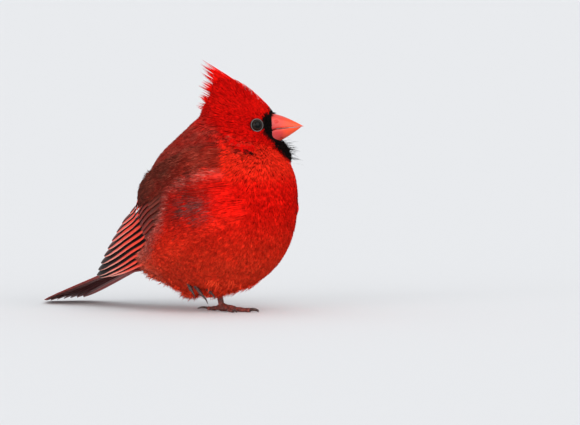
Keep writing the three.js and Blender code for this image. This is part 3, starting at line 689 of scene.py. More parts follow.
roots = roots[~bare_place(roots)]
on_head = trunk_reach(roots) - head_reach(roots) > 0
head_roots = roots[on_head]
body_roots = roots[~on_head]
turn = np.arctan2(body_roots[:, 1] - MIDDLE_Y, body_roots[:, 0])
order = np.argsort(turn)
BODY_PARTS = ["back_right", "flank_right", "breast_right", "breast_left", "flank_left", "back_left"]
coat = []
for name, members in zip(BODY_PARTS, np.array_split(order, len(BODY_PARTS))):
    places = body_roots[members]
    colours = coat_colours(places + dice.normal(0, BODY_RAGGED, places.shape))
    coat.append(tuft_piece("coat_" + name, places, BODY_BARBS, colours))
colours = coat_colours(head_roots + dice.normal(0, HEAD_RAGGED, head_roots.shape))
coat.append(tuft_piece("coat_head", head_roots, HEAD_BARBS, colours, fan=14))
for piece in coat:
    piece.data.calc_loop_triangles()
    print(piece.name, len(piece.data.loop_triangles), "triangles")

# %% [markdown]
# ## Vanes
# A flight feather is a long vane with a shaft, and its outer web is narrower and brighter than its inner web.
# A flat card would do from far off, but each vane here is a closed, slightly hollow blade on the wing's own
# surface, so the vanes overlap as real ones do. The map called Vane gives its fine barbs their way.

# %% Vane outlines
FLIGHT_OUTLINE = ([0, 0.1, 0.34, 0.7, 0.86, 0.94, 0.98, 1], [0.4, 0.7, 0.95, 1, 0.88, 0.66, 0.4, 0.05])
COVERT_OUTLINE = ([0, 0.2, 0.5, 0.78, 0.91, 0.975, 1], [0.6, 0.85, 1, 0.95, 0.74, 0.42, 0.06])
COLUMNS = np.array([-1, -0.9, -0.76, -0.6, -0.48, -0.34, -0.16, -0.04, 0.04, 0.3, 0.65, 1])


def vane_arrays(surface, vanes, outline, rows):
    way = 1 - (1 - np.linspace(0, 1, rows)) ** 1.5
    wide = np.interp(way, *outline)
    ring = np.concatenate([COLUMNS, COLUMNS[-2:0:-1]])
    top = np.concatenate([np.ones(len(COLUMNS)), np.zeros(len(COLUMNS) - 2)])
    get = {key: np.array([vane[key] for vane in vanes], float) for key in vanes[0]}
    run = get["tip"] - get["root"]
    reach = np.linalg.norm(run, axis=1)
    side = np.stack([-run[:, 1], run[:, 0]], 1) / reach[:, None]
    shift = get["bow"][:, None] * np.sin(math.pi * way)
    half = get["width"][:, None] * wide / 2
    across = half[..., None] * ring + shift[..., None]
    a = get["root"][:, 0, None, None] + run[:, 0, None, None] * way[:, None] + side[:, 0, None, None] * across
    b = get["root"][:, 1, None, None] + run[:, 1, None, None] * way[:, None] + side[:, 1, None, None] * across
    rise = np.stack([np.interp(way, [0, 0.36, 1], heights) for heights in get["rise"]])
    tilt = get["roll"][:, None] * wide
    crown = get["camber"][:, None] * wide
    shaft = 0.11 * (np.abs(ring) < 0.06) * top
    h = rise[..., None] - tilt[..., None] * ring + crown[..., None] * (1 - ring ** 2) + shaft
    thick = get["thick"][:, None, None] * (1 - 0.55 * ring ** 2) * (1 - 0.5 * way[:, None])
    h = h - thick * (1 - top)
    points = surface(a.ravel(), b.ravel(), h.ravel()).reshape(a.shape + (3,))
    return points, way, ring


def vane_piece(name, surface, vanes, outline, rows, colour_rule, finishing, mirror=False):
    points, way, ring = vane_arrays(surface, vanes, outline, rows)
    count, around = len(vanes), len(ring)
    if mirror:
        points[..., 1] = 2 * MIDDLE_Y - points[..., 1]
    index = np.arange(count * rows * around).reshape(count, rows, around)
    after = np.roll(index, -1, axis=2)
    quads = np.stack([index[:, :-1], after[:, :-1], after[:, 1:], index[:, 1:]], -1).reshape(-1, 4)
    caps = np.concatenate([index[:, 0, ::-1], index[:, -1]])
    if not mirror:
        quads, caps = quads[:, ::-1], caps[:, ::-1]
    piece = mesh_piece(name, points.reshape(-1, 3), [quads, caps])
    grid_way = np.broadcast_to(way[None, :, None], index.shape)
    grid_ring = np.broadcast_to(ring[None, None], index.shape)
    number = np.broadcast_to(np.arange(count)[:, None, None], index.shape)
    tint = colour_rule(grid_way, grid_ring, number, count)
    paint(piece.data, "tint", tint.reshape(-1, 3))
    add_map(piece.data, "Vane", np.stack([(grid_ring + 1) / 2, grid_way + number], -1).reshape(-1, 2))
    atlas = math.ceil(math.sqrt(count))
    cell_x = (number % atlas + 0.06 + 0.88 * np.arange(around) / around) / atlas
    cell_y = (number // atlas + 0.06 + 0.88 * grid_way) / atlas
    add_map(piece.data, "OFBake", np.stack([cell_x, cell_y], -1).reshape(-1, 2))
    return finish(piece, *finishing)


# %% [markdown]
# ## The wing's surface
# A folded wing lies on the fluffed body and leaves it as a free blade towards its tip. Two lengths find a
# place on it: along, from the bend to the tip, and up, across the blade. The third is the height over it.

# %% Wing surface
BEND = np.array([6, -41, 72.0])
WING_TIP = np.array([-73.6, -22.4, 19])
WING_LIFT = 1.9
WING_ARCH = 120
WING_BLEND = 3
WING_OUTWARD = np.array([-0.265, -0.962, 0.059])
wing_along = unit(WING_TIP - BEND)
wing_out = unit(WING_OUTWARD - wing_along * (WING_OUTWARD @ wing_along))
wing_up = np.cross(wing_along, wing_out)
wing_base = BEND - wing_out * ((BEND - TRUNK_START) @ wing_out)


def body_height(a, b, rounds):
    flat = wing_base + a[:, None] * wing_along + b[:, None] * wing_up
    return flat, reach_out(lambda far: trunk_reach(flat + far[:, None] * wing_out) < 0, len(a), 80, rounds)


def wing_point(a, b):
    flat, low = body_height(a, b, 15)
    blade = 22 + 12.5 * ease(a, 8, 66) - b * b / WING_ARCH
    height = WING_BLEND * np.logaddexp(blade / WING_BLEND, (low + WING_LIFT) / WING_BLEND)
    return flat + height[:, None] * wing_out


def wing_surface(a, b, h):
    here = wing_point(a, b)
    normal = unit(np.cross(wing_point(a + 0.5, b) - here, wing_point(a, b + 0.5) - here))
    normal *= np.sign(normal @ wing_out)[:, None]
    return here + normal * h[:, None]


# %% [markdown]
# ## Colours of the wing
# The outer webs are coral red and pale at the edge, and the inner webs are nearly black, so the folded wing
# shows fine stripes that grow dusky and pale-lined at the tip. The coverts and scapulars are dull brown-red.

# %% Wing colours
CORAL = light_value("e0402e")
PALE_EDGE = light_value("e6a193")
DUSKY = light_value("140c0c")
TIP_GREY = light_value("5a4f4d")
COVERT_RED = light_value("8a2418")
COVERT_DARK = light_value("45201a")
SCAPULAR = light_value("742c20")


def flight_colours(way, ring, number, count):
    inward = ease(number / max(count - 1, 1), 0.25, 0.75)
    primary = np.interp(way, [0, 0.45, 0.65, 0.85, 1], [-0.42, -0.5, -0.64, -0.82, -0.95])
    secondary = np.interp(way, [0, 0.45, 0.65, 0.85, 1], [-0.24, -0.26, -0.3, -0.42, -0.6])
    edge = between(primary, secondary, inward)
    outer = blend_colours(CORAL, PALE_EDGE, ease(way, 0.5, 1) * 0.75 * (1 - 0.8 * inward))
    outer = blend_colours(outer, PALE_EDGE, ease(-ring, 0.8, 0.96) * ease(way, 0.3, 0.8))
    inner = blend_colours(DUSKY, COVERT_RED, 0.75 * inward * ease(way, 0.55, 0.95) * ease(ring, -0.2, 0.3))
    colour = blend_colours(outer, inner, ease(ring - edge, -0.07, 0.07))
    return blend_colours(colour, TIP_GREY, ease(way, 0.9, 1) * 0.5 * (1 - inward))


def covert_colours(base, dark, pale):
    pale = light_value(pale)

    def rule(way, ring, number, count):
        wobble = np.random.default_rng(3).normal(1, 0.13, count)[number][..., None]
        middle = ease(-np.abs(ring + 0.1), -0.6, -0.1)
        colour = blend_colours(base * wobble, dark, 0.75 * middle + 0.25 * ease(-way, -0.7, -0.2))
        return blend_colours(colour, pale, 0.5 * ease(way, 0.86, 1) * ease(np.abs(ring), -0.2, 0.9))

    return rule


def vane_spec(root, tip, width, rise, roll, bow=0.0, camber=0.25, thick=0.32):
    return dict(root=root, tip=tip, width=width, rise=rise, roll=roll, bow=bow, camber=camber, thick=thick)


# %% Flight feathers and coverts, row by row
FLIGHT_TIPS = [91, 96.5, 98.2, 95.5, 91.5, 87, 82, 76.5, 70.5, 64, 56]
FLIGHT_WIDTH = 6.6
flights = []
for i, tip_a in enumerate(FLIGHT_TIPS):
    t = i / (len(FLIGHT_TIPS) - 1)
    flights.append(vane_spec((between(37, 27, t), between(-18.5, 13, t)), (tip_a, between(-4, 15.2, t)),
                             FLIGHT_WIDTH * between(0.85, 1.1, t), (-2.6, 2, 1.6), 1.4,
                             between(-1.6, 0.8, t)))


def covert_row(count, width, roll, roots, tips, rise=(-1.8, 1.7, 1.8)):
    row = []
    for i in range(count):
        t = i / (count - 1)
        root = [between(roots[0][k], roots[1][k], t) for k in (0, 1)]
        tip = [between(tips[0][k], tips[1][k], t) + dice.normal(0, 0.35) for k in (0, 1)]
        row.append(vane_spec(root, tip, width, rise, roll, between(-1.2, 0.6, t)))
    return row


greater = covert_row(12, 5, 0.9, ((20, -19), (14, 12)), ((43, -15), (45, 13)))
primary_coverts = covert_row(5, 3.6, 0.7, ((24, -19), (22, -12)), ((37, -16), (41, -10)), (-2, 1.3, 1.5))
median = covert_row(12, 5, 0.8, ((8, -19), (5, 11)), ((27, -20), (26, 12)))
lesser = []
for step, start in enumerate((3, -1.5, -6)):
    tip_a = start + 13.5
    lesser += covert_row(12, 4.6, 0.6, ((start, -18 + step), (start, 10)),
                         ((tip_a, -19 + step), (tip_a - 2, 10.5)), (-1.6, 1.6, 1.8))
scapulars = covert_row(7, 5.6, 0.5, ((-2, 11), (26, 13)), ((15, 13), (49, 15)), (-1, 2, 1.9))
scapulars += covert_row(6, 5.6, 0.5, ((-4, 12.5), (18, 14)), ((12, 14.5), (36, 15.5)), (-1, 2.1, 2))
WING_PARTS = [
    ("flights", flights, FLIGHT_OUTLINE, 26, flight_colours),
    ("primary_coverts", primary_coverts, COVERT_OUTLINE, 14, flight_colours),
    ("greater_coverts", greater, COVERT_OUTLINE, 14, covert_colours(COVERT_RED, COVERT_DARK, "93402f")),
    ("median_coverts", median, COVERT_OUTLINE, 12, covert_colours(SCAPULAR, COVERT_DARK, "84453a")),
    ("lesser_coverts", lesser, COVERT_OUTLINE, 12, covert_colours(SCAPULAR, COVERT_RED, "8c5c53")),
    ("scapulars", scapulars, COVERT_OUTLINE, 12, covert_colours(SCAPULAR, COVERT_DARK, "84493d")),
]

# %% [markdown]
# ## Finish of the vanes
# Barbs leave the shaft at a slant. A wave on the Vane map draws them as a faint ripple of colour and height,
# and a slightly smoother surface than the coat's gives the satin look of a fresh feather.

# %% Vane material
def vane_material(name, barbs, slant, roughness):
    material, nodes, links = new_material(name, Roughness=roughness, Specular_IOR_Level=0.12)
    chart = add_node(nodes, "UVMap")
    chart.uv_map = "Vane"
    split = add_node(nodes, "SeparateXYZ")
    links.new(chart.outputs["UV"], split.inputs[0])

    def work_out(operation, *values):
        node = add_node(nodes, "Math", operation)
        for socket, value in zip(node.inputs, values):
            if isinstance(value, (int, float)):
                socket.default_value = value
            else:
                links.new(value, socket)
        return node.outputs[0]

    away = work_out("ABSOLUTE", work_out("SUBTRACT", split.outputs["X"], 0.5))
    lean = work_out("MULTIPLY_ADD", away, -slant, split.outputs["Y"])
    wave = work_out("SINE", work_out("MULTIPLY", lean, barbs))
    total = work_out("MULTIPLY_ADD", wave, 0.25, add_grain(nodes, links, 500))
    shade_tint(nodes, links, total, (0.1, 0.9), 0.78, 1.2)
    add_relief(nodes, links, total, 0.35)
    return material


long_vane = vane_material("long_vane", 420, 0.22, 0.5)
short_vane = vane_material("short_vane", 170, 0.5, 0.62)

# %% Both wings
for side, mirror in (("right", False), ("left", True)):
    for part, vanes, outline, rows, rule in WING_PARTS:
        finishing = (long_vane if part == "flights" else short_vane, "wing_feathers", "wing_" + side)
        vane_piece(f"wing_{side}_{part}", wing_surface, vanes, outline, rows, rule, finishing, mirror)
print("wing vanes:", sum(len(part[1]) for part in WING_PARTS), "a side")

# %% [markdown]
# ## The tail
# Twelve long feathers fan out a little, the middle pair on top. They are dull red, dusky on the inner webs,
# with a pale shaft below and a pale rim at the tip. Softer coverts close the root above and below.

# %% Tail surface and feathers
TAIL_ROOT = np.array([-34, MIDDLE_Y, 34.2])
TAIL_SLOPE = math.radians(19.5)
TAIL_ARCH = 160
TAIL_PAIRS = 6
TAIL_LENGTH = 101
TAIL_SHORTER = 2.1
TAIL_SPREAD = math.radians(9.2)
TAIL_WIDTH = 9.6
TAIL_RED = light_value("a2302a")
TAIL_DUSKY = light_value("5e2f2f")
TAIL_RIM = light_value("c07a70")


def tail_surface(a, b, h):
    height = h - b * b / TAIL_ARCH
    c, s = math.cos(TAIL_SLOPE), math.sin(TAIL_SLOPE)
    return TAIL_ROOT + np.stack([-a * c - height * s, b, -a * s + height * c], -1)


def tail_colours(side):
    def rule(way, ring, number, count):
        outer = ring * side
        colour = blend_colours(TAIL_RED, TAIL_DUSKY, ease(-outer, -0.05, 0.25) * 0.85)
        colour = blend_colours(colour, TAIL_DUSKY, 0.35 * ease(way, 0.75, 1))
        rim = np.maximum(ease(np.abs(ring), 0.86, 1) * 0.5, ease(way, 0.965, 1))
        colour = blend_colours(colour, TAIL_RIM, 0.55 * rim)
        return blend_colours(colour, TAIL_RIM, 0.7 * ease(-np.abs(ring), -0.1, -0.02))
    return rule


for side, label in ((-1, "right"), (1, "left")):
    vanes = []
    for n in reversed(range(TAIL_PAIRS)):
        angle = TAIL_SPREAD * ((n + 0.28) / (TAIL_PAIRS - 0.72))
        length = TAIL_LENGTH - TAIL_SHORTER * n
        level = 0.8 if n == 0 and side < 0 else -0.5 * n
        aside = 0.6 + 0.35 * n
        tip = (length * math.cos(angle), side * (aside + length * math.sin(angle)))
        vanes.append(vane_spec((4, side * aside), tip, TAIL_WIDTH, (level + 2, level * 0.6 + 1, level * 0.25),
                               -side * 0.6 * min(n, 1), camber=0.3, thick=0.4))
    vane_piece("tail_" + label, tail_surface, vanes, FLIGHT_OUTLINE, 30, tail_colours(side),
               (long_vane, "tail_feathers", "tail"))


def tail_covert_rows(level, longer):
    rows = []
    for tier, (start, reach, wide) in enumerate(((10, 36, 7), (4, 28, 10), (-2, 20, 12))):
        for n in range(7):
            aside = n / 3 - 1
            tip = (reach + longer - 7 * abs(aside) + dice.normal(0, 0.6), aside * (wide * 0.85))
            lift = level * (1 + 0.24 * tier)
            rows.append(vane_spec((start, aside * wide * 0.6), tip, 5.4, (lift * 0.5, lift, lift * 0.55), 0.1,
                                  camber=0.35))
    return rows


soft_red = covert_colours(light_value("b0302a"), light_value("8a2a26"), "d0776a")
for label, level, longer in (("upper", 4.4, 0), ("under", -4.4, 9)):
    vane_piece("tail_coverts_" + label, tail_surface, tail_covert_rows(level, longer), COVERT_OUTLINE, 12,
               soft_red, (short_vane, "tail_feathers", "tail"))

# %% [markdown]
# ## The crest
# A raised crest is a sheaf of long, narrow feathers that leave the crown and come together in ragged points.
# Each is built as a few long barbs that part at the middle and meet at the tip, so light passes between them.


# %% Long fine barbs
STRAND_RIDGE = 0.4


def strand_arrays(spines, widths, sides, ups):
    left = spines[:, :-1] - sides * (widths / 2)[..., None]
    right = spines[:, :-1] + sides * (widths / 2)[..., None]
    ridge = spines[:, :-1] + ups * (widths * STRAND_RIDGE)[..., None]
    rings = np.stack([left, right, ridge], 2).reshape(len(spines), -1, 3)
    return np.concatenate([rings, spines[:, -1:]], 1)


def strand_piece(name, spines, widths, sides, ups, colours, homes):
    points = strand_arrays(spines, widths, sides, ups)
    stations = spines.shape[1]
    piece = mesh_piece(name, points.reshape(-1, 3), strand_faces(len(spines), stations))
    along = np.append(np.repeat(np.linspace(0, 1, stations)[:-1], 3), 1)
    paint(piece.data, "tint", colours.reshape(-1, 3))
    across = np.tile([-1.0, 1.0, 0.0], stations)[:len(along)]
    shift = np.stack([across, along * 2 - 1], -1) * PATCH
    add_map(piece.data, "OFBake", (homes[:, None] + shift).reshape(-1, 2))
    return finish(piece, plumage, "plumage_red")


# %% Crest feathers
CREST_FRONT = np.array([6.6, 17.2])
CREST_BACK = np.array([-11.5, 7])
CREST_FEATHERS = 230
CREST_BARBS = 7
CREST_STATIONS = 6


def crest_barbs():
    t = dice.random(CREST_FEATHERS) ** 1.15
    full = dice.random(CREST_FEATHERS) < 0.26
    share = np.where(full, dice.uniform(0.94, 1.06, CREST_FEATHERS), dice.uniform(0.35, 0.86, CREST_FEATHERS))
    length = between(34.8, 14, t ** 0.8) * share
    slope = np.radians(between(36.5, 30, t) + dice.normal(0, 2, CREST_FEATHERS) * (0.4 + 1.3 * t))
    aside = between(1.7, 5, t) * dice.uniform(-1, 1, CREST_FEATHERS)
    root = CREST_FRONT + (CREST_BACK - CREST_FRONT) * t[:, None]
    at = np.linspace(0, 1, CREST_STATIONS)
    place = np.arange(CREST_BARBS) / (CREST_BARBS - 1) * 2 - 1
    spread = place + dice.normal(0, 0.12, (CREST_FEATHERS, CREST_BARBS))
    swell = np.array([0.5, 0.9, 1, 0.8, 0.36, 0.05])
    lead = np.stack([-np.cos(slope), np.zeros_like(slope), np.sin(slope)], -1)
    over = np.stack([np.sin(slope), np.zeros_like(slope), np.cos(slope)], -1)
    long = length[:, None] * (1 - 0.16 * spread ** 2) * dice.uniform(0.93, 1.03, spread.shape)
    line = lead[:, None, None] * (long[..., None] * at)[..., None]
    half = (0.75 + 0.012 * length)[:, None, None] * spread[..., None] * swell
    bow = (0.05 * length)[:, None, None] * np.sin(math.pi * at) * 0.5
    line = line + over[:, None, None] * (half + bow)[..., None]
    start = np.stack([root[:, 0], aside, root[:, 1] - 1.5 * np.abs(aside) / 3], -1)
    sideways = -0.8 * aside[:, None] * at ** 0.8
    sideways = sideways[:, None, :] + 0.5 * half * np.sign(aside)[:, None, None]
    line = line + np.array([0, 1, 0]) * sideways[..., None]
    spines = start[:, None, None] + line
    widths = (0.42 - 0.18 * t)[:, None, None] * np.array([1, 1, 0.95, 0.8, 0.55])
    widths = np.broadcast_to(widths, spread.shape + (CREST_STATIONS - 1,))
    sides = np.broadcast_to(over[:, None, None], spines[:, :, :-1].shape)
    face = np.where(aside < 0, -1.0, 1.0)[:, None, None, None] * np.array([0, 1, 0])
    ups = np.broadcast_to(face, sides.shape)
    shade = dice.normal(1, 0.1, (CREST_FEATHERS, 1, 1))
    shade = shade * dice.normal(1, 0.1, (CREST_FEATHERS, CREST_BARBS, 1))
    ring_at = np.append(np.repeat(at[:-1], 3), 1)
    colour = blend_colours(SCARLET, CRIMSON, 0.3 + 0.6 * dice.random((CREST_FEATHERS, CREST_BARBS)))
    # Each crest barb is painted darker at its root than at its tip: painted shade within the crest.
    tint = colour[:, :, None] * (shade * (0.75 + 0.35 * ring_at))[..., None]
    homes = np.repeat(skin_unwrap(from_head(start)), CREST_BARBS, axis=0)
    flat = (-1, CREST_STATIONS, 3)
    short = (-1, CREST_STATIONS - 1)
    return (from_head(spines.reshape(flat)), widths.reshape(short), turn_from_head(sides.reshape(*short, 3)),
            turn_from_head(ups.reshape(*short, 3)), tint.reshape(len(homes), -1, 3), homes)


strand_piece("crest", *crest_barbs())
print("crest barbs:", CREST_FEATHERS * CREST_BARBS)

# %% [markdown]
# ## Chin bristles
# Fine black bristles stand out in front of the chin and round the corner of the mouth. They are the same
# long barbs, rooted on the skin of the chin and bent down by their own weight.

# %% Bristles
BRISTLES = 110
BRISTLE_WIDTH = 0.26


def bristle_barbs():
    place = np.stack([dice.uniform(16.5, 27, BRISTLES), dice.uniform(-6.5, 6.5, BRISTLES),
                      dice.uniform(-16, -9.5, BRISTLES)], -1)
    roots = settle(from_head(place), -0.4, 5)
    normals = unit(slope_of(bird_reach, roots))
    forward = turn_from_head(unit(np.array([0.95, 0, -0.16])))
    way = unit(0.95 * forward + 0.7 * normals + dice.normal(0, 0.2, (BRISTLES, 3)))
    length = dice.uniform(3.5, 9.5, BRISTLES)
    at = np.linspace(0, 1, 5)
    spines = roots[:, None] + way[:, None] * (length[:, None] * at)[..., None]
    spines[..., 2] -= (0.10 * length[:, None] * at ** 2) * length[:, None] / 6
    widths = np.broadcast_to(BRISTLE_WIDTH * np.array([1, 0.95, 0.8, 0.55]), (BRISTLES, 4))
    side = unit(np.cross(way, normals))
    sides = np.broadcast_to(side[:, None], (BRISTLES, 4, 3))
    ups = np.broadcast_to(normals[:, None], (BRISTLES, 4, 3))
    tint = np.broadcast_to(MASK_AND_SHADOW_BLACK, (BRISTLES, 13, 3))
    return spines, widths, sides, ups, tint, skin_unwrap(roots)


strand_piece("chin_bristles", *bristle_barbs())

# %% [markdown]
# ## Rings drawn out by hand
# Bill, legs, toes and claws are all one kind of shape: a ring of points that is extruded again and again, and
# set to a new size and place each time. That is how one would model them by hand, and it keeps them closed.


# %% Extrude a ring along a form
def extruded_form(name, rings):
    around = rings.shape[1]
    clear_selection()
    bpy.ops.mesh.primitive_circle_add(vertices=around, radius=1)
    piece = bpy.context.object
    piece.name = name
    mesh = piece.data
    mesh.vertices.foreach_set("co", (rings[0] * MM).ravel())
    for before, after in zip(rings[:-1], rings[1:]):
        bpy.ops.object.mode_set(mode="EDIT")
        bpy.ops.mesh.extrude_region_move()
        bpy.ops.object.mode_set(mode="OBJECT")
        fresh = [v for v in mesh.vertices if v.select]
        places = np.array([v.co for v in fresh]) / MM
        nearest = np.linalg.norm(places[:, None] - before[None], axis=2).argmin(1)
        for vertex, k in zip(fresh, nearest):
            vertex.co = after[k] * MM
    bpy.ops.object.mode_set(mode="EDIT")
    bpy.ops.mesh.edge_face_add()
    bpy.ops.mesh.select_all(action="DESELECT")
    bpy.ops.object.mode_set(mode="OBJECT")
    start = np.linalg.norm(vertex_places(mesh)[:, None] - rings[0][None], axis=2).min(1) < 1e-4
    mesh.vertices.foreach_set("select", start)
    bpy.ops.object.mode_set(mode="EDIT")
    bpy.ops.mesh.select_mode(type="VERT")
    bpy.ops.mesh.edge_face_add()
    bpy.ops.mesh.select_all(action="SELECT")
    bpy.ops.mesh.normals_make_consistent(inside=False)
    bpy.ops.object.mode_set(mode="OBJECT")
    round_off = piece.modifiers.new("round_off", "SUBSURF")
    round_off.levels = round_off.render_levels = 1
    bpy.ops.object.modifier_apply(modifier=round_off.name)
    bpy.ops.object.shade_smooth()
    return piece


# %% [markdown]
# ## The bill
# A seed-eater's bill is a short, deep cone in two halves. The upper half curves down to a fine tip, and the
# mouth line has an angle near its corner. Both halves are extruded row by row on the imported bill's own sizes.

# %% Bill halves
BILL = dict(base=15.2, tip=35.6, mouth_base=-2.4, kink_x=20.4, kink=-0.4, mouth_tip=0.9, culmen=7.9,
            gonys=-9.8, half=6.6, gap=-0.05)
NOSTRIL = (20.6, 3.9)
NOSTRIL_DEPTH = 0.8
BILL_ROWS = 34
BILL_SIDES = 22


def mouth_line(x):
    return np.interp(x, [BILL["base"], BILL["kink_x"], BILL["tip"]],
                     [BILL["mouth_base"], BILL["kink"], BILL["mouth_tip"]])


def bill_outline(upper, t, angle):
    x = between(BILL["base"], BILL["tip"] if upper else BILL["tip"] - 1.2, t)
    line = mouth_line(x)
    full = 1 - t ** 1.85 if upper else 1 - t ** 1.25
    top = between(line - 0.1, BILL["culmen"], full) if upper else between(line, BILL["gonys"], full)
    edge = line + (0.5 if upper else -0.5) * BILL["gap"]
    crown = top + (0.5 if upper else -0.5) * (1 - 0.6 * t)
    y = BILL["half"] * np.maximum(0.035, 1 - t ** 1.35) * np.cos(angle)
    return x, y, between(edge, crown, np.sin(angle) ** 0.85), edge


def bill_rings(upper):
    rings = []
    for t in 1 - (1 - np.linspace(0, 1, BILL_ROWS)) ** 1.35:
        x, y, z, edge = bill_outline(upper, t, np.linspace(0, math.pi, BILL_SIDES))
        floor_y = np.linspace(y[-1], y[0], 6)[1:-1]
        y = np.append(y, floor_y)
        z = np.append(z, np.full(4, edge + (0.25 if upper else -0.25)))
        rings.append(np.stack([np.full_like(y, x), y, z], -1))
    return from_head(np.array(rings))


def sink_nostrils(piece):
    points = to_head(vertex_places(piece.data))
    far = np.hypot((points[:, 0] - NOSTRIL[0]) / 1.25, (points[:, 2] - NOSTRIL[1]) / 0.75)
    points[:, 1] -= NOSTRIL_DEPTH * ease(-far, -1.15, -0.55) * np.sign(points[:, 1])
    place_vertices(piece.data, from_head(points))


bill_upper = extruded_form("bill_upper_dressed", bill_rings(True))
sink_nostrils(bill_upper)
bill_lower = extruded_form("bill_lower_dressed", bill_rings(False))

# %% [markdown]
# ## Feathers over the bill's base
# The bill never starts at a clean line. Short black feathers grow forward over its base, longest above and
# below. Each one follows the bill's own outline a hair's breadth above the horn.


# %% Feathers at the bill's base
FRINGE = 260
FRINGE_WIDTH = 0.5


def fringe_barbs(upper):
    angle = dice.uniform(0.05, 0.95, FRINGE) * math.pi
    crown = np.sin(angle) ** 2
    reach = between(1.8, 6.4 if upper else 8, crown) * dice.uniform(0.45, 1.05, FRINGE)
    at = np.linspace(0, 1, 4)
    t = (reach[:, None] * at) / (BILL["tip"] - BILL["base"])
    lean = angle[:, None] + dice.normal(0, 0.12, FRINGE)[:, None] * at
    x, y, z, _ = bill_outline(upper, t, lean)
    sign = 1 if upper else -1
    outward = np.stack([np.zeros_like(lean), np.cos(lean), sign * np.sin(lean)], -1)
    lift = between(0.2, 0.6, at) + np.abs(dice.normal(0, 0.25, FRINGE))[:, None] * at
    line = np.stack([x - 0.8, y, z], -1) + outward * lift[..., None]
    spines = from_head(line)
    ups = turn_from_head(outward)[:, :3]
    sides = unit(np.cross(turn_from_head(np.array([1.0, 0, 0])), ups))
    widths = np.broadcast_to(FRINGE_WIDTH * np.array([1, 0.9, 0.65]), (FRINGE, 3))
    tint = np.broadcast_to(MASK_AND_SHADOW_BLACK, (FRINGE, 10, 3))
    return spines, widths, sides, ups, tint, skin_unwrap(spines[:, 0])


for upper, label in ((True, "upper"), (False, "lower")):
    strand_piece("bill_fringe_" + label, *fringe_barbs(upper))

# %% [markdown]
# ## Finish of the bill
# The horn is coral orange, warmer at the tip and the ridge, rosy and paler at the base, with faint streaks
# along its length. It shines softly, like a fingernail.


# %% Bill material
def horn_colours(points, upper):
    place = to_head(points)
    way = (place[:, 0] - BILL["base"]) / (BILL["tip"] - BILL["base"])
    base, tip = light_value("b42c2c"), light_value("d8441a")
    colour = blend_colours(base, tip, ease(way, 0.1, 0.8))
    if upper:
        ridge = ease(place[:, 2] - mouth_line(place[:, 0]), 2.5, 6.5) * ease(-way, -0.75, -0.2)
        colour = blend_colours(colour, light_value("d04a3e"), 0.6 * ridge)
    else:
        low = ease(-place[:, 2], 0.5, 6)
        colour = blend_colours(colour, light_value("aa4c4a"), 0.6 * low * ease(-way, -0.6, -0.1))
        blush = ease(-np.hypot((place[:, 0] - 22) / 3.6, (place[:, 2] + 3.2) / 2.6), -1.2, -0.2)
        colour = blend_colours(colour, light_value("b0262e"), 0.6 * blush)
    near_mouth = ease(-np.abs(place[:, 2] - mouth_line(place[:, 0])), -0.45, -0.2)
    colour = blend_colours(colour, light_value("8a2f28"), 0.55 * near_mouth)
    return blend_colours(colour, light_value("b8432a"), 0.5 * ease(way, 0.93, 1))


def horn_material(name, roughness, streak, low, high, gloss=0.0, specular=0.3):
    material, nodes, links = new_material(name, Roughness=roughness, Specular_IOR_Level=specular,
                                          Coat_Weight=gloss, Coat_Roughness=0.2)
    grain = add_grain(nodes, links, 300, 3, streak)
    shade_tint(nodes, links, grain, NOISE_SPAN, low, high)
    add_relief(nodes, links, grain, 0.25)
    return material


bill_horn = horn_material("bill_horn", 0.36, (0.35, 1.6, 1.6), 0.9, 1.1, 0.05)
for piece, node, upper in ((bill_upper, "bill_upper", True), (bill_lower, "bill_lower", False)):
    paint(piece.data, "tint", horn_colours(vertex_places(piece.data), upper))
    finish(piece, bill_horn, "bill", node)

# %% [markdown]
# ## The eyes
# The eye is a glossy ball, dark brown round a black pupil, set a little into the face. A thin grey ring of
# bare lid, beaded along its edge, frames it. Ball and ring are primitives, turned the way the eye looks.

# %% Eyes and lids
EYE_RADIUS = 3.6
EYE_SINK = 1.7
LID_RADIUS = 3.4
LID_THICK = 0.22
LID_BEADS = 13


def eye_seat(side):
    low, high = 0.0, 40.0
    for _ in range(24):
        middle = (low + high) / 2
        point = np.array([EYE_PLACE[0], side * middle, EYE_PLACE[1]])
        inside = blended_reach(HEAD_MASSES, HEAD_BLEND, point) < 0
        low, high = (middle, high) if inside else (low, middle)
    look = unit(slope_of(lambda p: blended_reach(HEAD_MASSES, HEAD_BLEND, p), point[None])[0])
    return from_head(point), turn_from_head(look)


def bead_ring(piece, centre, look, beads, height):
    points = vertex_places(piece.data)
    away = points - centre
    flat = away - look * (away @ look)[:, None]
    first = unit(np.cross(look, np.array([0, 0, 1.0])))
    second = np.cross(look, first)
    angle = np.arctan2(flat @ second, flat @ first)
    middle = centre + unit(flat) * LID_RADIUS
    swell = 1 + height * np.sin(beads * angle) ** 2
    place_vertices(piece.data, middle + (points - middle) * swell[:, None])


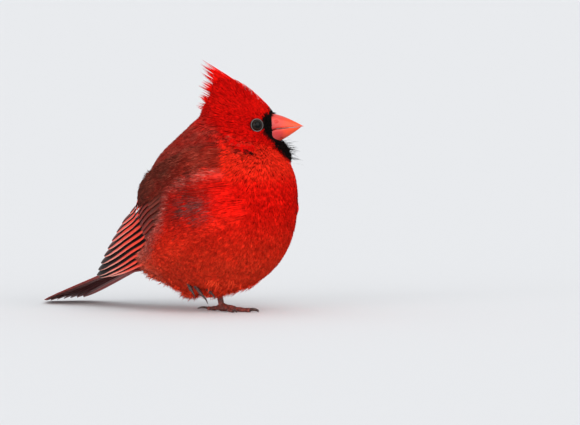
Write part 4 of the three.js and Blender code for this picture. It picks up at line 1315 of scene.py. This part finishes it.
wet_eye = horn_material("wet_eye", 0.03, (1, 1, 1), 0.8, 1.2, specular=0.1)
bare_lid = horn_material("bare_lid", 0.55, (1, 1, 1), 0.7, 1.25)
for side, label in ((-1, "right"), (1, "left")):
    seat, look = eye_seat(side)
    facing = Vector(look).to_track_quat("Z", "Y").to_euler()
    clear_selection()
    bpy.ops.mesh.primitive_uv_sphere_add(segments=48, ring_count=32, radius=EYE_RADIUS * MM,
                                         location=(seat - look * EYE_SINK) * MM, rotation=facing)
    eye = apply_primitive(f"eye_{label}_dressed")
    away = unit(vertex_places(eye.data) - (seat - look * EYE_SINK))
    turned = np.degrees(np.arccos(np.clip(away @ look, -1, 1)))
    iris = blend_colours(light_value("040404"), light_value("201712"), ease(turned, 30, 36))
    paint(eye.data, "tint", blend_colours(iris, light_value("060505"), ease(turned, 50, 58)))
    finish(eye, wet_eye, "eye", "eye_" + label)
    bpy.ops.mesh.primitive_torus_add(location=seat * MM, rotation=facing, major_segments=96,
                                     minor_segments=14, major_radius=LID_RADIUS * MM,
                                     minor_radius=LID_THICK * MM)
    lid = apply_primitive("lid_" + label)
    bead_ring(lid, seat, look, LID_BEADS, 0.3)
    paint(lid.data, "tint", np.broadcast_to(light_value("57504f"), (len(lid.data.vertices), 3)))
    finish(lid, bare_lid, "eye", "head")

# %% [markdown]
# ## Feathers over the wing
# In the cold a songbird puffs out its flank and its mantle until only the rear part of the folded wing shows.
# These tufts are laid on a surface of their own, which leaves the body and rises over the wing. They end in
# two ragged lines, red ones from the flank below and brown ones from the back above.

# %% The surface over the wing
COVER_DEPTH = 1.2
COVER_RISE = 3.0
LOWER_EDGE = ([0, 37, 50, 63, 75], [-22, -21.5, -18, -14.5, -12])
FLANK_LINE = ([7, 12.5, 15, 19, 27.5, 49.8, 60, 66], [4.4, 3.3, -2.1, -7.4, -12, -14.8, -13, -30])
MANTLE_LINE = ([3, 6, 9, 12, 16], [19, 28, 38, 42, 40])


def over_wing(a, b):
    return ease(b - np.interp(a, *LOWER_EDGE), -9, -1) * ease(a, -20, -9)


def cover_surface(a, b, h):
    flat, low = body_height(a, b, 13)
    wing_height = (wing_point(a, b) - flat) @ wing_out
    height = low - COVER_DEPTH + over_wing(a, b) * (wing_height + COVER_RISE - low) + h
    return flat + height[:, None] * wing_out, low


# %% Tufts over the wing
COVER_BARBS = 9
COVER_TRIES = 13500
COVER_ALONG = (-24, 64)
COVER_UP = (-38, 18)
COVER_CENTRE = np.array([-8, MIDDLE_Y, 52])
# Painted shade along each barb over the wing: darker at the root than at the tip.
COVER_SHADE = np.array([0.8, 0.8, 0.8, 0.95, 0.95, 0.98, 1.2])


def cover_tufts(mirror, from_back):
    roll_dice = np.random.default_rng(11)
    a, b = (roll_dice.uniform(*span, COVER_TRIES) for span in (COVER_ALONG, COVER_UP))
    length = between(8.6, 7, ease(a, 10, 45)) * roll_dice.uniform(0.8, 1.2, COVER_TRIES)
    degrees = between(3, 30, ease(b, -24, 3)) * ease(-a, -40, -24) if not from_back else 3
    turn = np.radians(degrees + roll_dice.normal(0, 7, COVER_TRIES))
    tip_a, tip_b = a + length * np.cos(turn), b + length * np.sin(turn)
    slack = roll_dice.normal(0, 0.9, COVER_TRIES)
    if from_back:
        beyond = np.maximum(tip_a - np.interp(tip_b, *MANTLE_LINE), 3.5 - b) + slack
    else:
        beyond = tip_b - np.interp(tip_a, *FLANK_LINE) + slack
    inside = (beyond < 0) & (roll_dice.random(COVER_TRIES) < between(0.3, 0.62, ease(beyond, -9, -2)))
    inside &= cover_surface(a, b, np.zeros(COVER_TRIES))[1] > 7
    inside &= roll_dice.random(COVER_TRIES) < ease(a, -24, -8)
    a, b, length, turn, beyond = (part[inside] for part in (a, b, length, turn, beyond))
    count = len(a)
    spread = np.linspace(-1, 1, COVER_BARBS) + roll_dice.normal(0, 0.15, (count, COVER_BARBS))
    angle = turn[:, None] + np.radians(13) * spread
    long = length[:, None] * (1 - 0.2 * spread ** 2) * roll_dice.uniform(0.78, 1.16, spread.shape)
    at = np.array([0, 0.5, 1])
    curl = roll_dice.normal(0, 0.07, spread.shape)[..., None] * at ** 2
    run = long[..., None] * at
    angle = angle[..., None] + curl
    points_a = (a[:, None] - 0.8 * np.sin(turn)[:, None] * spread)[..., None] + run * np.cos(angle)
    points_b = (b[:, None] + 0.8 * np.cos(turn)[:, None] * spread)[..., None] + run * np.sin(angle)
    height = np.array([-0.4, 0.7, 0.9]) + np.abs(roll_dice.normal(0, 0.45, spread.shape))[..., None] * at
    spines = cover_surface(points_a.ravel(), points_b.ravel(), height.ravel())[0].reshape(-1, 3, 3)
    way = unit(spines[:, 1] - spines[:, 0])
    up = unit(spines[:, 0] - COVER_CENTRE)
    across = unit(np.cross(way, up))
    place = cover_surface(a, b, np.zeros(count))[0] + roll_dice.normal(0, 1.1, (count, 3))
    colour = coat_colours(place)
    at_edge = ease(beyond, -7, 0) * ease(b, -30, -12) * ease(-b, -3, 3)
    pale = blend_colours(light_value("9a3026"), light_value("cf8476"), roll_dice.random(count) ** 1.4)
    if from_back:
        pale = blend_colours(light_value("3c150f"), light_value("8e4233"), roll_dice.random(count) ** 2)
    colour = blend_colours(colour * 0.93, pale, 0.72 if from_back else 0.8 * at_edge)
    if mirror:
        for part in (spines, across, up):
            part[..., 1] *= -1
        spines[..., 1] += 2 * MIDDLE_Y
    width = np.repeat(0.44 * roll_dice.uniform(0.8, 1.2, count), COVER_BARBS)[:, None] * np.array([0.75, 1])
    shade = roll_dice.normal(1, 0.07, (count, 1, 1)) * roll_dice.normal(1, 0.12, (count, COVER_BARBS, 1))
    tint = colour[:, None, None] * (shade * COVER_SHADE)[..., None]
    sides, ups = (np.repeat(part[:, None], 2, axis=1) for part in (across, up))
    return spines, width, sides, ups, tint.reshape(len(spines), 7, 3), skin_unwrap(spines[:, 0])


for side, mirror in (("right", False), ("left", True)):
    for part, from_back in (("mantle", True), ("flank", False)):
        cover = strand_piece(f"coat_{part}_over_wing_{side}", *cover_tufts(mirror, from_back))
        print(cover.name, len(cover.data.vertices) // 7, "barbs")

# %% [markdown]
# ## Loose edges of the coat
# Where the coat ends it is never a clean line: wisps hang from the belly round the leg, the vent's long
# feathers reach out under the tail, and the cheek's feathers stand over the throat in a soft fold, with a
# row of black tufts under it as painted shadow.


# %% Loose tufts
def pick_roots(share, rule):
    chosen = rule(roots) & (dice.random(len(roots)) < share)
    return roots[chosen] + dice.normal(0, 0.3, (chosen.sum(), 3))


def loose_piece(name, places, length, ways, lift, barbs=8, colours=None, **extra):
    places = settle(places, -coat_depth(places), 2)
    lengths = np.full(len(places), length)
    normals = unit(slope_of(bird_reach, places))
    ways = unit(ways - normals * (ways * normals).sum(-1, keepdims=True))
    colours = coat_colours(places) if colours is None else colours
    tuft_piece(name, places, barbs, colours, lengths=lengths, ways=ways, lift=lift, **extra)


# %% Belly, vent, cheek and chin
TUCKED_FOOT = (-3, -20)
TUCKED_BARE = 9


def on_belly(p):
    clear_of_foot = np.hypot(p[:, 0] - TUCKED_FOOT[0], p[:, 1] - TUCKED_FOOT[1]) > TUCKED_BARE
    return (p[:, 2] < 23) & (p[:, 0] > -34) & clear_of_foot


belly = pick_roots(0.25, on_belly)
hang = unit(SINK - belly) * 0.7 + np.array([0, 0, -0.8])
loose_piece("coat_belly_wisps", belly, 8.5, hang, 0.7, ruffle=0.7, curl=0.05)
vent = pick_roots(0.9, lambda p: (p[:, 0] < -30) & (p[:, 2] < 40))
loose_piece("coat_vent_wisps", vent, 11.5, unit(np.array([-62, -4, 14]) - vent), 1.0, ruffle=0.8, curl=0.05)


def seat_on_side(x, z, side, level):
    def seat(far):
        return from_head(np.stack([x, side * far, z], -1))
    return seat(reach_out(lambda far: bird_reach(seat(far)) < level, len(x), 40, 14))


def cheek_roots(side, count=150):
    x = dice.uniform(-5.5, 11, count)
    z = np.interp(x, CHEEK_EDGE_X, CHEEK_EDGE_Z) + dice.uniform(0.6, 3.2, count)
    return seat_on_side(x, z, side, -1.2)


cheek = np.concatenate([cheek_roots(-1), cheek_roots(1)])
cheek_way = turn_from_head(unit(np.array([-0.75, 0, -0.62])))
pale_share = 0.12 * ease(-to_head(cheek)[:, 0], -4, -1)
flecks = np.where((dice.random(len(cheek)) < pale_share)[:, None], light_value("c65546"), CRIMSON)
loose_piece("coat_cheek_edge", cheek, 3.8, cheek_way, 0.75, barbs=7, colours=flecks)
# Short black tufts laid in the crease under the cheek: painted shadow.
SHADOW_TUFTS = 44
fold = dice.random(SHADOW_TUFTS)
fold_x = between(2.2, 7.6, fold)
fold_z = between(-11.7, -13.7, fold) + dice.normal(0, 0.3, SHADOW_TUFTS)
fold_shadow_roots = np.concatenate([seat_on_side(fold_x, fold_z, side, -0.6) for side in (-1, 1)])
fold_way = turn_from_head(unit(np.array([0.9, 0, -0.4])))
loose_piece("coat_cheek_fold_shadow", fold_shadow_roots, 2.4, fold_way, 1.9, barbs=5,
            colours=np.tile(MASK_AND_SHADOW_BLACK, (len(fold_shadow_roots), 1)))
CHIN_BOX = ((17, 30), (-7, 7), (-21, -8))
chin_place = np.stack([dice.uniform(low, high, 420) for low, high in CHIN_BOX], -1)
chin = settle(from_head(chin_place), -0.6, 6)
chin = chin[mask_share(chin) > 0.8]
chin_way = turn_from_head(unit(np.array([0.28, 0, -0.96])))
loose_piece("coat_chin_tufts", chin, 3.4, chin_way, 0.35, barbs=6, ruffle=0.55, curl=0.08, fan=18)

# %% [markdown]
# ## Legs, toes and claws
# The bare leg and toes are covered in horny scales, with a row of wide plates down the front. Each limb is a
# ring extruded along a smooth curve, and its upper side is stepped plate by plate.


# %% Curves and limbs
def smooth_curve(knots, count):
    knots = np.array(knots, float)
    padded = np.concatenate([2 * knots[:1] - knots[1:2], knots, 2 * knots[-1:] - knots[-2:-1]])
    spans = len(knots) - 1
    points = []
    for u in np.linspace(0, spans, count):
        i = min(int(u), spans - 1)
        t = u - i
        a, b, c, d = padded[i:i + 4]
        points.append(0.5 * (2 * b + (c - a) * t + (2 * a - 5 * b + 4 * c - d) * t ** 2
                             + (3 * b - a - 3 * c + d) * t ** 3))
    return np.array(points)


def limb_rings(knots, rows, around, radius, upright, plates=0, step=0.0, floor_level=None):
    line = smooth_curve(knots, rows)
    ways = unit(np.gradient(line, axis=0))
    sides = unit(np.cross(np.array(upright, float), ways))
    ups = np.cross(ways, sides)
    t = np.linspace(0, 1, rows)
    angle = np.linspace(0, 2 * math.pi, around, endpoint=False)
    saw = (t * plates) % 1.0
    front = np.clip(np.sin(angle) + 0.35, 0, 1)
    size = radius(t)[:, None] * (1 + step * (saw[:, None] - 0.5) * front)
    rings = line[:, None] + sides[:, None] * (size * np.cos(angle))[..., None]
    rings = rings + ups[:, None] * (size * np.sin(angle))[..., None]
    if floor_level is not None:
        rings[..., 2] = np.maximum(rings[..., 2], floor_level)
    return rings


def toe_size(radius, pads):
    return lambda t: radius * (1 + 0.13 * np.cos(2 * math.pi * pads * t)) * between(1.12, 0.74, t)


def finish_horn(piece, node, slot, base, shade, material):
    points = vertex_places(piece.data)
    streak = cloudy(points, 1.4, 4)
    paint(piece.data, "tint", blend_colours(base, shade, np.clip(0.5 + 1.1 * streak, 0, 1)))
    finish(piece, material, slot, node)


# %% The standing leg and foot
LEG_SKIN = light_value("84392f")
LEG_SHADE = light_value("4c2320")
CLAW_DARK = light_value("2b1a17")
CLAW_PALE = light_value("4a322c")
# The tucked toes are painted darker and greyer than the standing foot: painted shade under the belly.
TUCKED_SKIN_IN_SHADE = light_value("5c3f39")
TUCKED_SHADE = light_value("30201f")
scaled_skin = horn_material("scaled_skin", 0.5, (1, 1, 1), 0.75, 1.25)
claw_horn = horn_material("claw_horn", 0.36, (1, 1, 1), 0.8, 1.2, 0.2)
LEG = ("leg_skin", LEG_SKIN, LEG_SHADE, scaled_skin)
TUCKED_LEG_IN_SHADE = ("leg_skin", TUCKED_SKIN_IN_SHADE, TUCKED_SHADE, scaled_skin)
CLAW = ("claw", CLAW_DARK, CLAW_PALE, claw_horn)
ANKLE = np.array([-1.5, -0.6, 4.2])
KNEE = np.array([-5, -4, 27.0])
shin_knots = [KNEE, KNEE + (ANKLE - KNEE) * 0.6, ANKLE, [-1.5, -0.6, 2.2]]
tarsus = extruded_form("tarsus", limb_rings(shin_knots, 56, 14, lambda t: 1.72 * (1 + 0.3 * ease(t, 0.7, 1)),
                                            (1, 0, 0), plates=11, step=0.14))
finish_horn(tarsus, "leg_left", *LEG)
TOES = {"middle": (2, 18.5, 1.45, 6.5), "inner": (-27, 13.5, 1.3, 5.5), "outer": (30, 14.5, 1.3, 5.5),
        "hind": (183, 11, 1.45, 8)}
for name, (degrees, length, thick, claw_length) in TOES.items():
    way = np.array([math.cos(math.radians(degrees)), math.sin(math.radians(degrees)), 0])
    up = np.array([0, 0, 1.0])
    low = thick * 0.86
    knots = [ANKLE * (1, 1, 0) + up * 3.2, way * length * 0.32 + up * (low + 0.7),
             way * length * 0.64 + up * low, way * (length + 0.2) + up * low * 0.85]
    rings = limb_rings(knots, 52, 14, toe_size(thick, 3), (0, 0, 1), plates=12, step=0.16, floor_level=0.05)
    finish_horn(extruded_form("toe_" + name, rings), "foot_left", *LEG)
    knots = [way * (length - 0.8) + up * low * 0.9, way * (length + claw_length * 0.45) + up * low * 1.2,
             way * (length + claw_length * 0.85) + up * low * 0.75, way * (length + claw_length) + up * 0.35]
    rings = limb_rings(knots, 16, 10, lambda t: between(0.82, 0.1, t ** 1.3), (0, 0, 1), floor_level=0.06)
    finish_horn(extruded_form("nail_" + name, rings), "claw_left_" + name, *CLAW)
PAD_PLACE = np.array([-0.4, -0.2, 1.52])
PAD_HALF = np.array([3.2, 2.6, 1.85])
clear_selection()
bpy.ops.mesh.primitive_uv_sphere_add(segments=28, ring_count=16, radius=1, location=PAD_PLACE * MM,
                                     scale=PAD_HALF * MM)
pad = apply_primitive("foot_pad")
pad_points = vertex_places(pad.data)
pad_points[:, 2] = np.maximum(pad_points[:, 2], 0.05)
place_vertices(pad.data, pad_points)
finish_horn(pad, "foot_left", *LEG)

# %% [markdown]
# ## The tucked foot
# The other foot is drawn up into the belly for warmth. Only three toes show, half closed, with their claws
# pointing down. They are painted a darker grey-brown than the standing foot: painted shade under the belly.
# They follow the imported toes' own knuckles.

# %% Tucked toes
TUCKED = {
    "outer": ((-10.5, -19, 22), (-7.4, -22.2, 17.2), (-5.2, -22, 12.6), (-3.9, -20.4, 7.9)),
    "middle": ((-7, -16, 21), (-3.8, -20.4, 15.8), (-0.6, -18.8, 10.4), (1.9, -15.9, 4.8)),
    "inner": ((-4, -13, 20), (1, -17.2, 15.2), (3.7, -15.6, 11.2), (5, -13.4, 7.4)),
}
for name, knots in TUCKED.items():
    root, knuckle, end, tip = (np.array(knot, float) for knot in knots)
    rings = limb_rings([root, knuckle, end + 0.3 * unit(tip - end)], 40, 12, toe_size(1.35, 2), (1, 0, 0),
                       plates=9, step=0.16)
    finish_horn(extruded_form("tucked_" + name, rings), "toe_right_" + name, *TUCKED_LEG_IN_SHADE)
    bend = end + (tip - end) * 0.55 + np.array([0.9, -0.5, 0.4])
    rings = limb_rings([end - 0.6 * unit(tip - end), bend, tip], 16, 10,
                       lambda t: between(0.78, 0.1, t ** 1.3), (1, 0, 0))
    finish_horn(extruded_form("tucked_nail_" + name, rings), "claw_right_" + name, *CLAW)

# %% [markdown]
# ## Floor and light
# The photograph was taken under an even, pale sky. A wide pale floor, a bright surround and two large soft
# lamps give the same quiet light: one high in front, and one low at the side that the photo shows.

# %% Floor, surround and lamps
FLOOR_GREY = (0.685, 0.685, 0.69, 1)
SKY_TONE = (0.93, 0.96, 1.0, 1)
SKY_STRENGTH = 0.82
LAMP_SPREAD = math.radians(60)
LAMPS = {"key_lamp": (-18, 27, 2.15, (1, 0.985, 0.96)), "fill_lamp": (-80, 5, 2.2, (0.98, 0.99, 1))}
clear_selection()
bpy.ops.mesh.primitive_plane_add(size=80)
floor = bpy.context.object
floor.name = "floor"
floor.data.materials.append(new_material("floor_paint", Roughness=0.9, Specular_IOR_Level=0.2,
                                         Base_Color=FLOOR_GREY)[0])
surround = bpy.data.worlds.new("pale_sky")
surround.use_nodes = True
sky = surround.node_tree.nodes["Background"]
sky.inputs["Color"].default_value = SKY_TONE
sky.inputs["Strength"].default_value = SKY_STRENGTH
bpy.context.scene.world = surround
bpy.context.scene.view_settings.view_transform = "Standard"
for name, (turn, rise, strength, tone) in LAMPS.items():
    turn, rise = math.radians(turn), math.radians(rise)
    way = Vector((math.cos(turn), math.sin(turn), 0)) * math.cos(rise)
    way.z = math.sin(rise)
    bpy.ops.object.light_add(type="SUN", location=way)
    lamp = bpy.context.object
    lamp.name = name
    lamp.data.angle = LAMP_SPREAD
    lamp.data.energy = strength
    lamp.data.color = tone
    lamp.rotation_euler = way.to_track_quat("Z", "Y").to_euler()
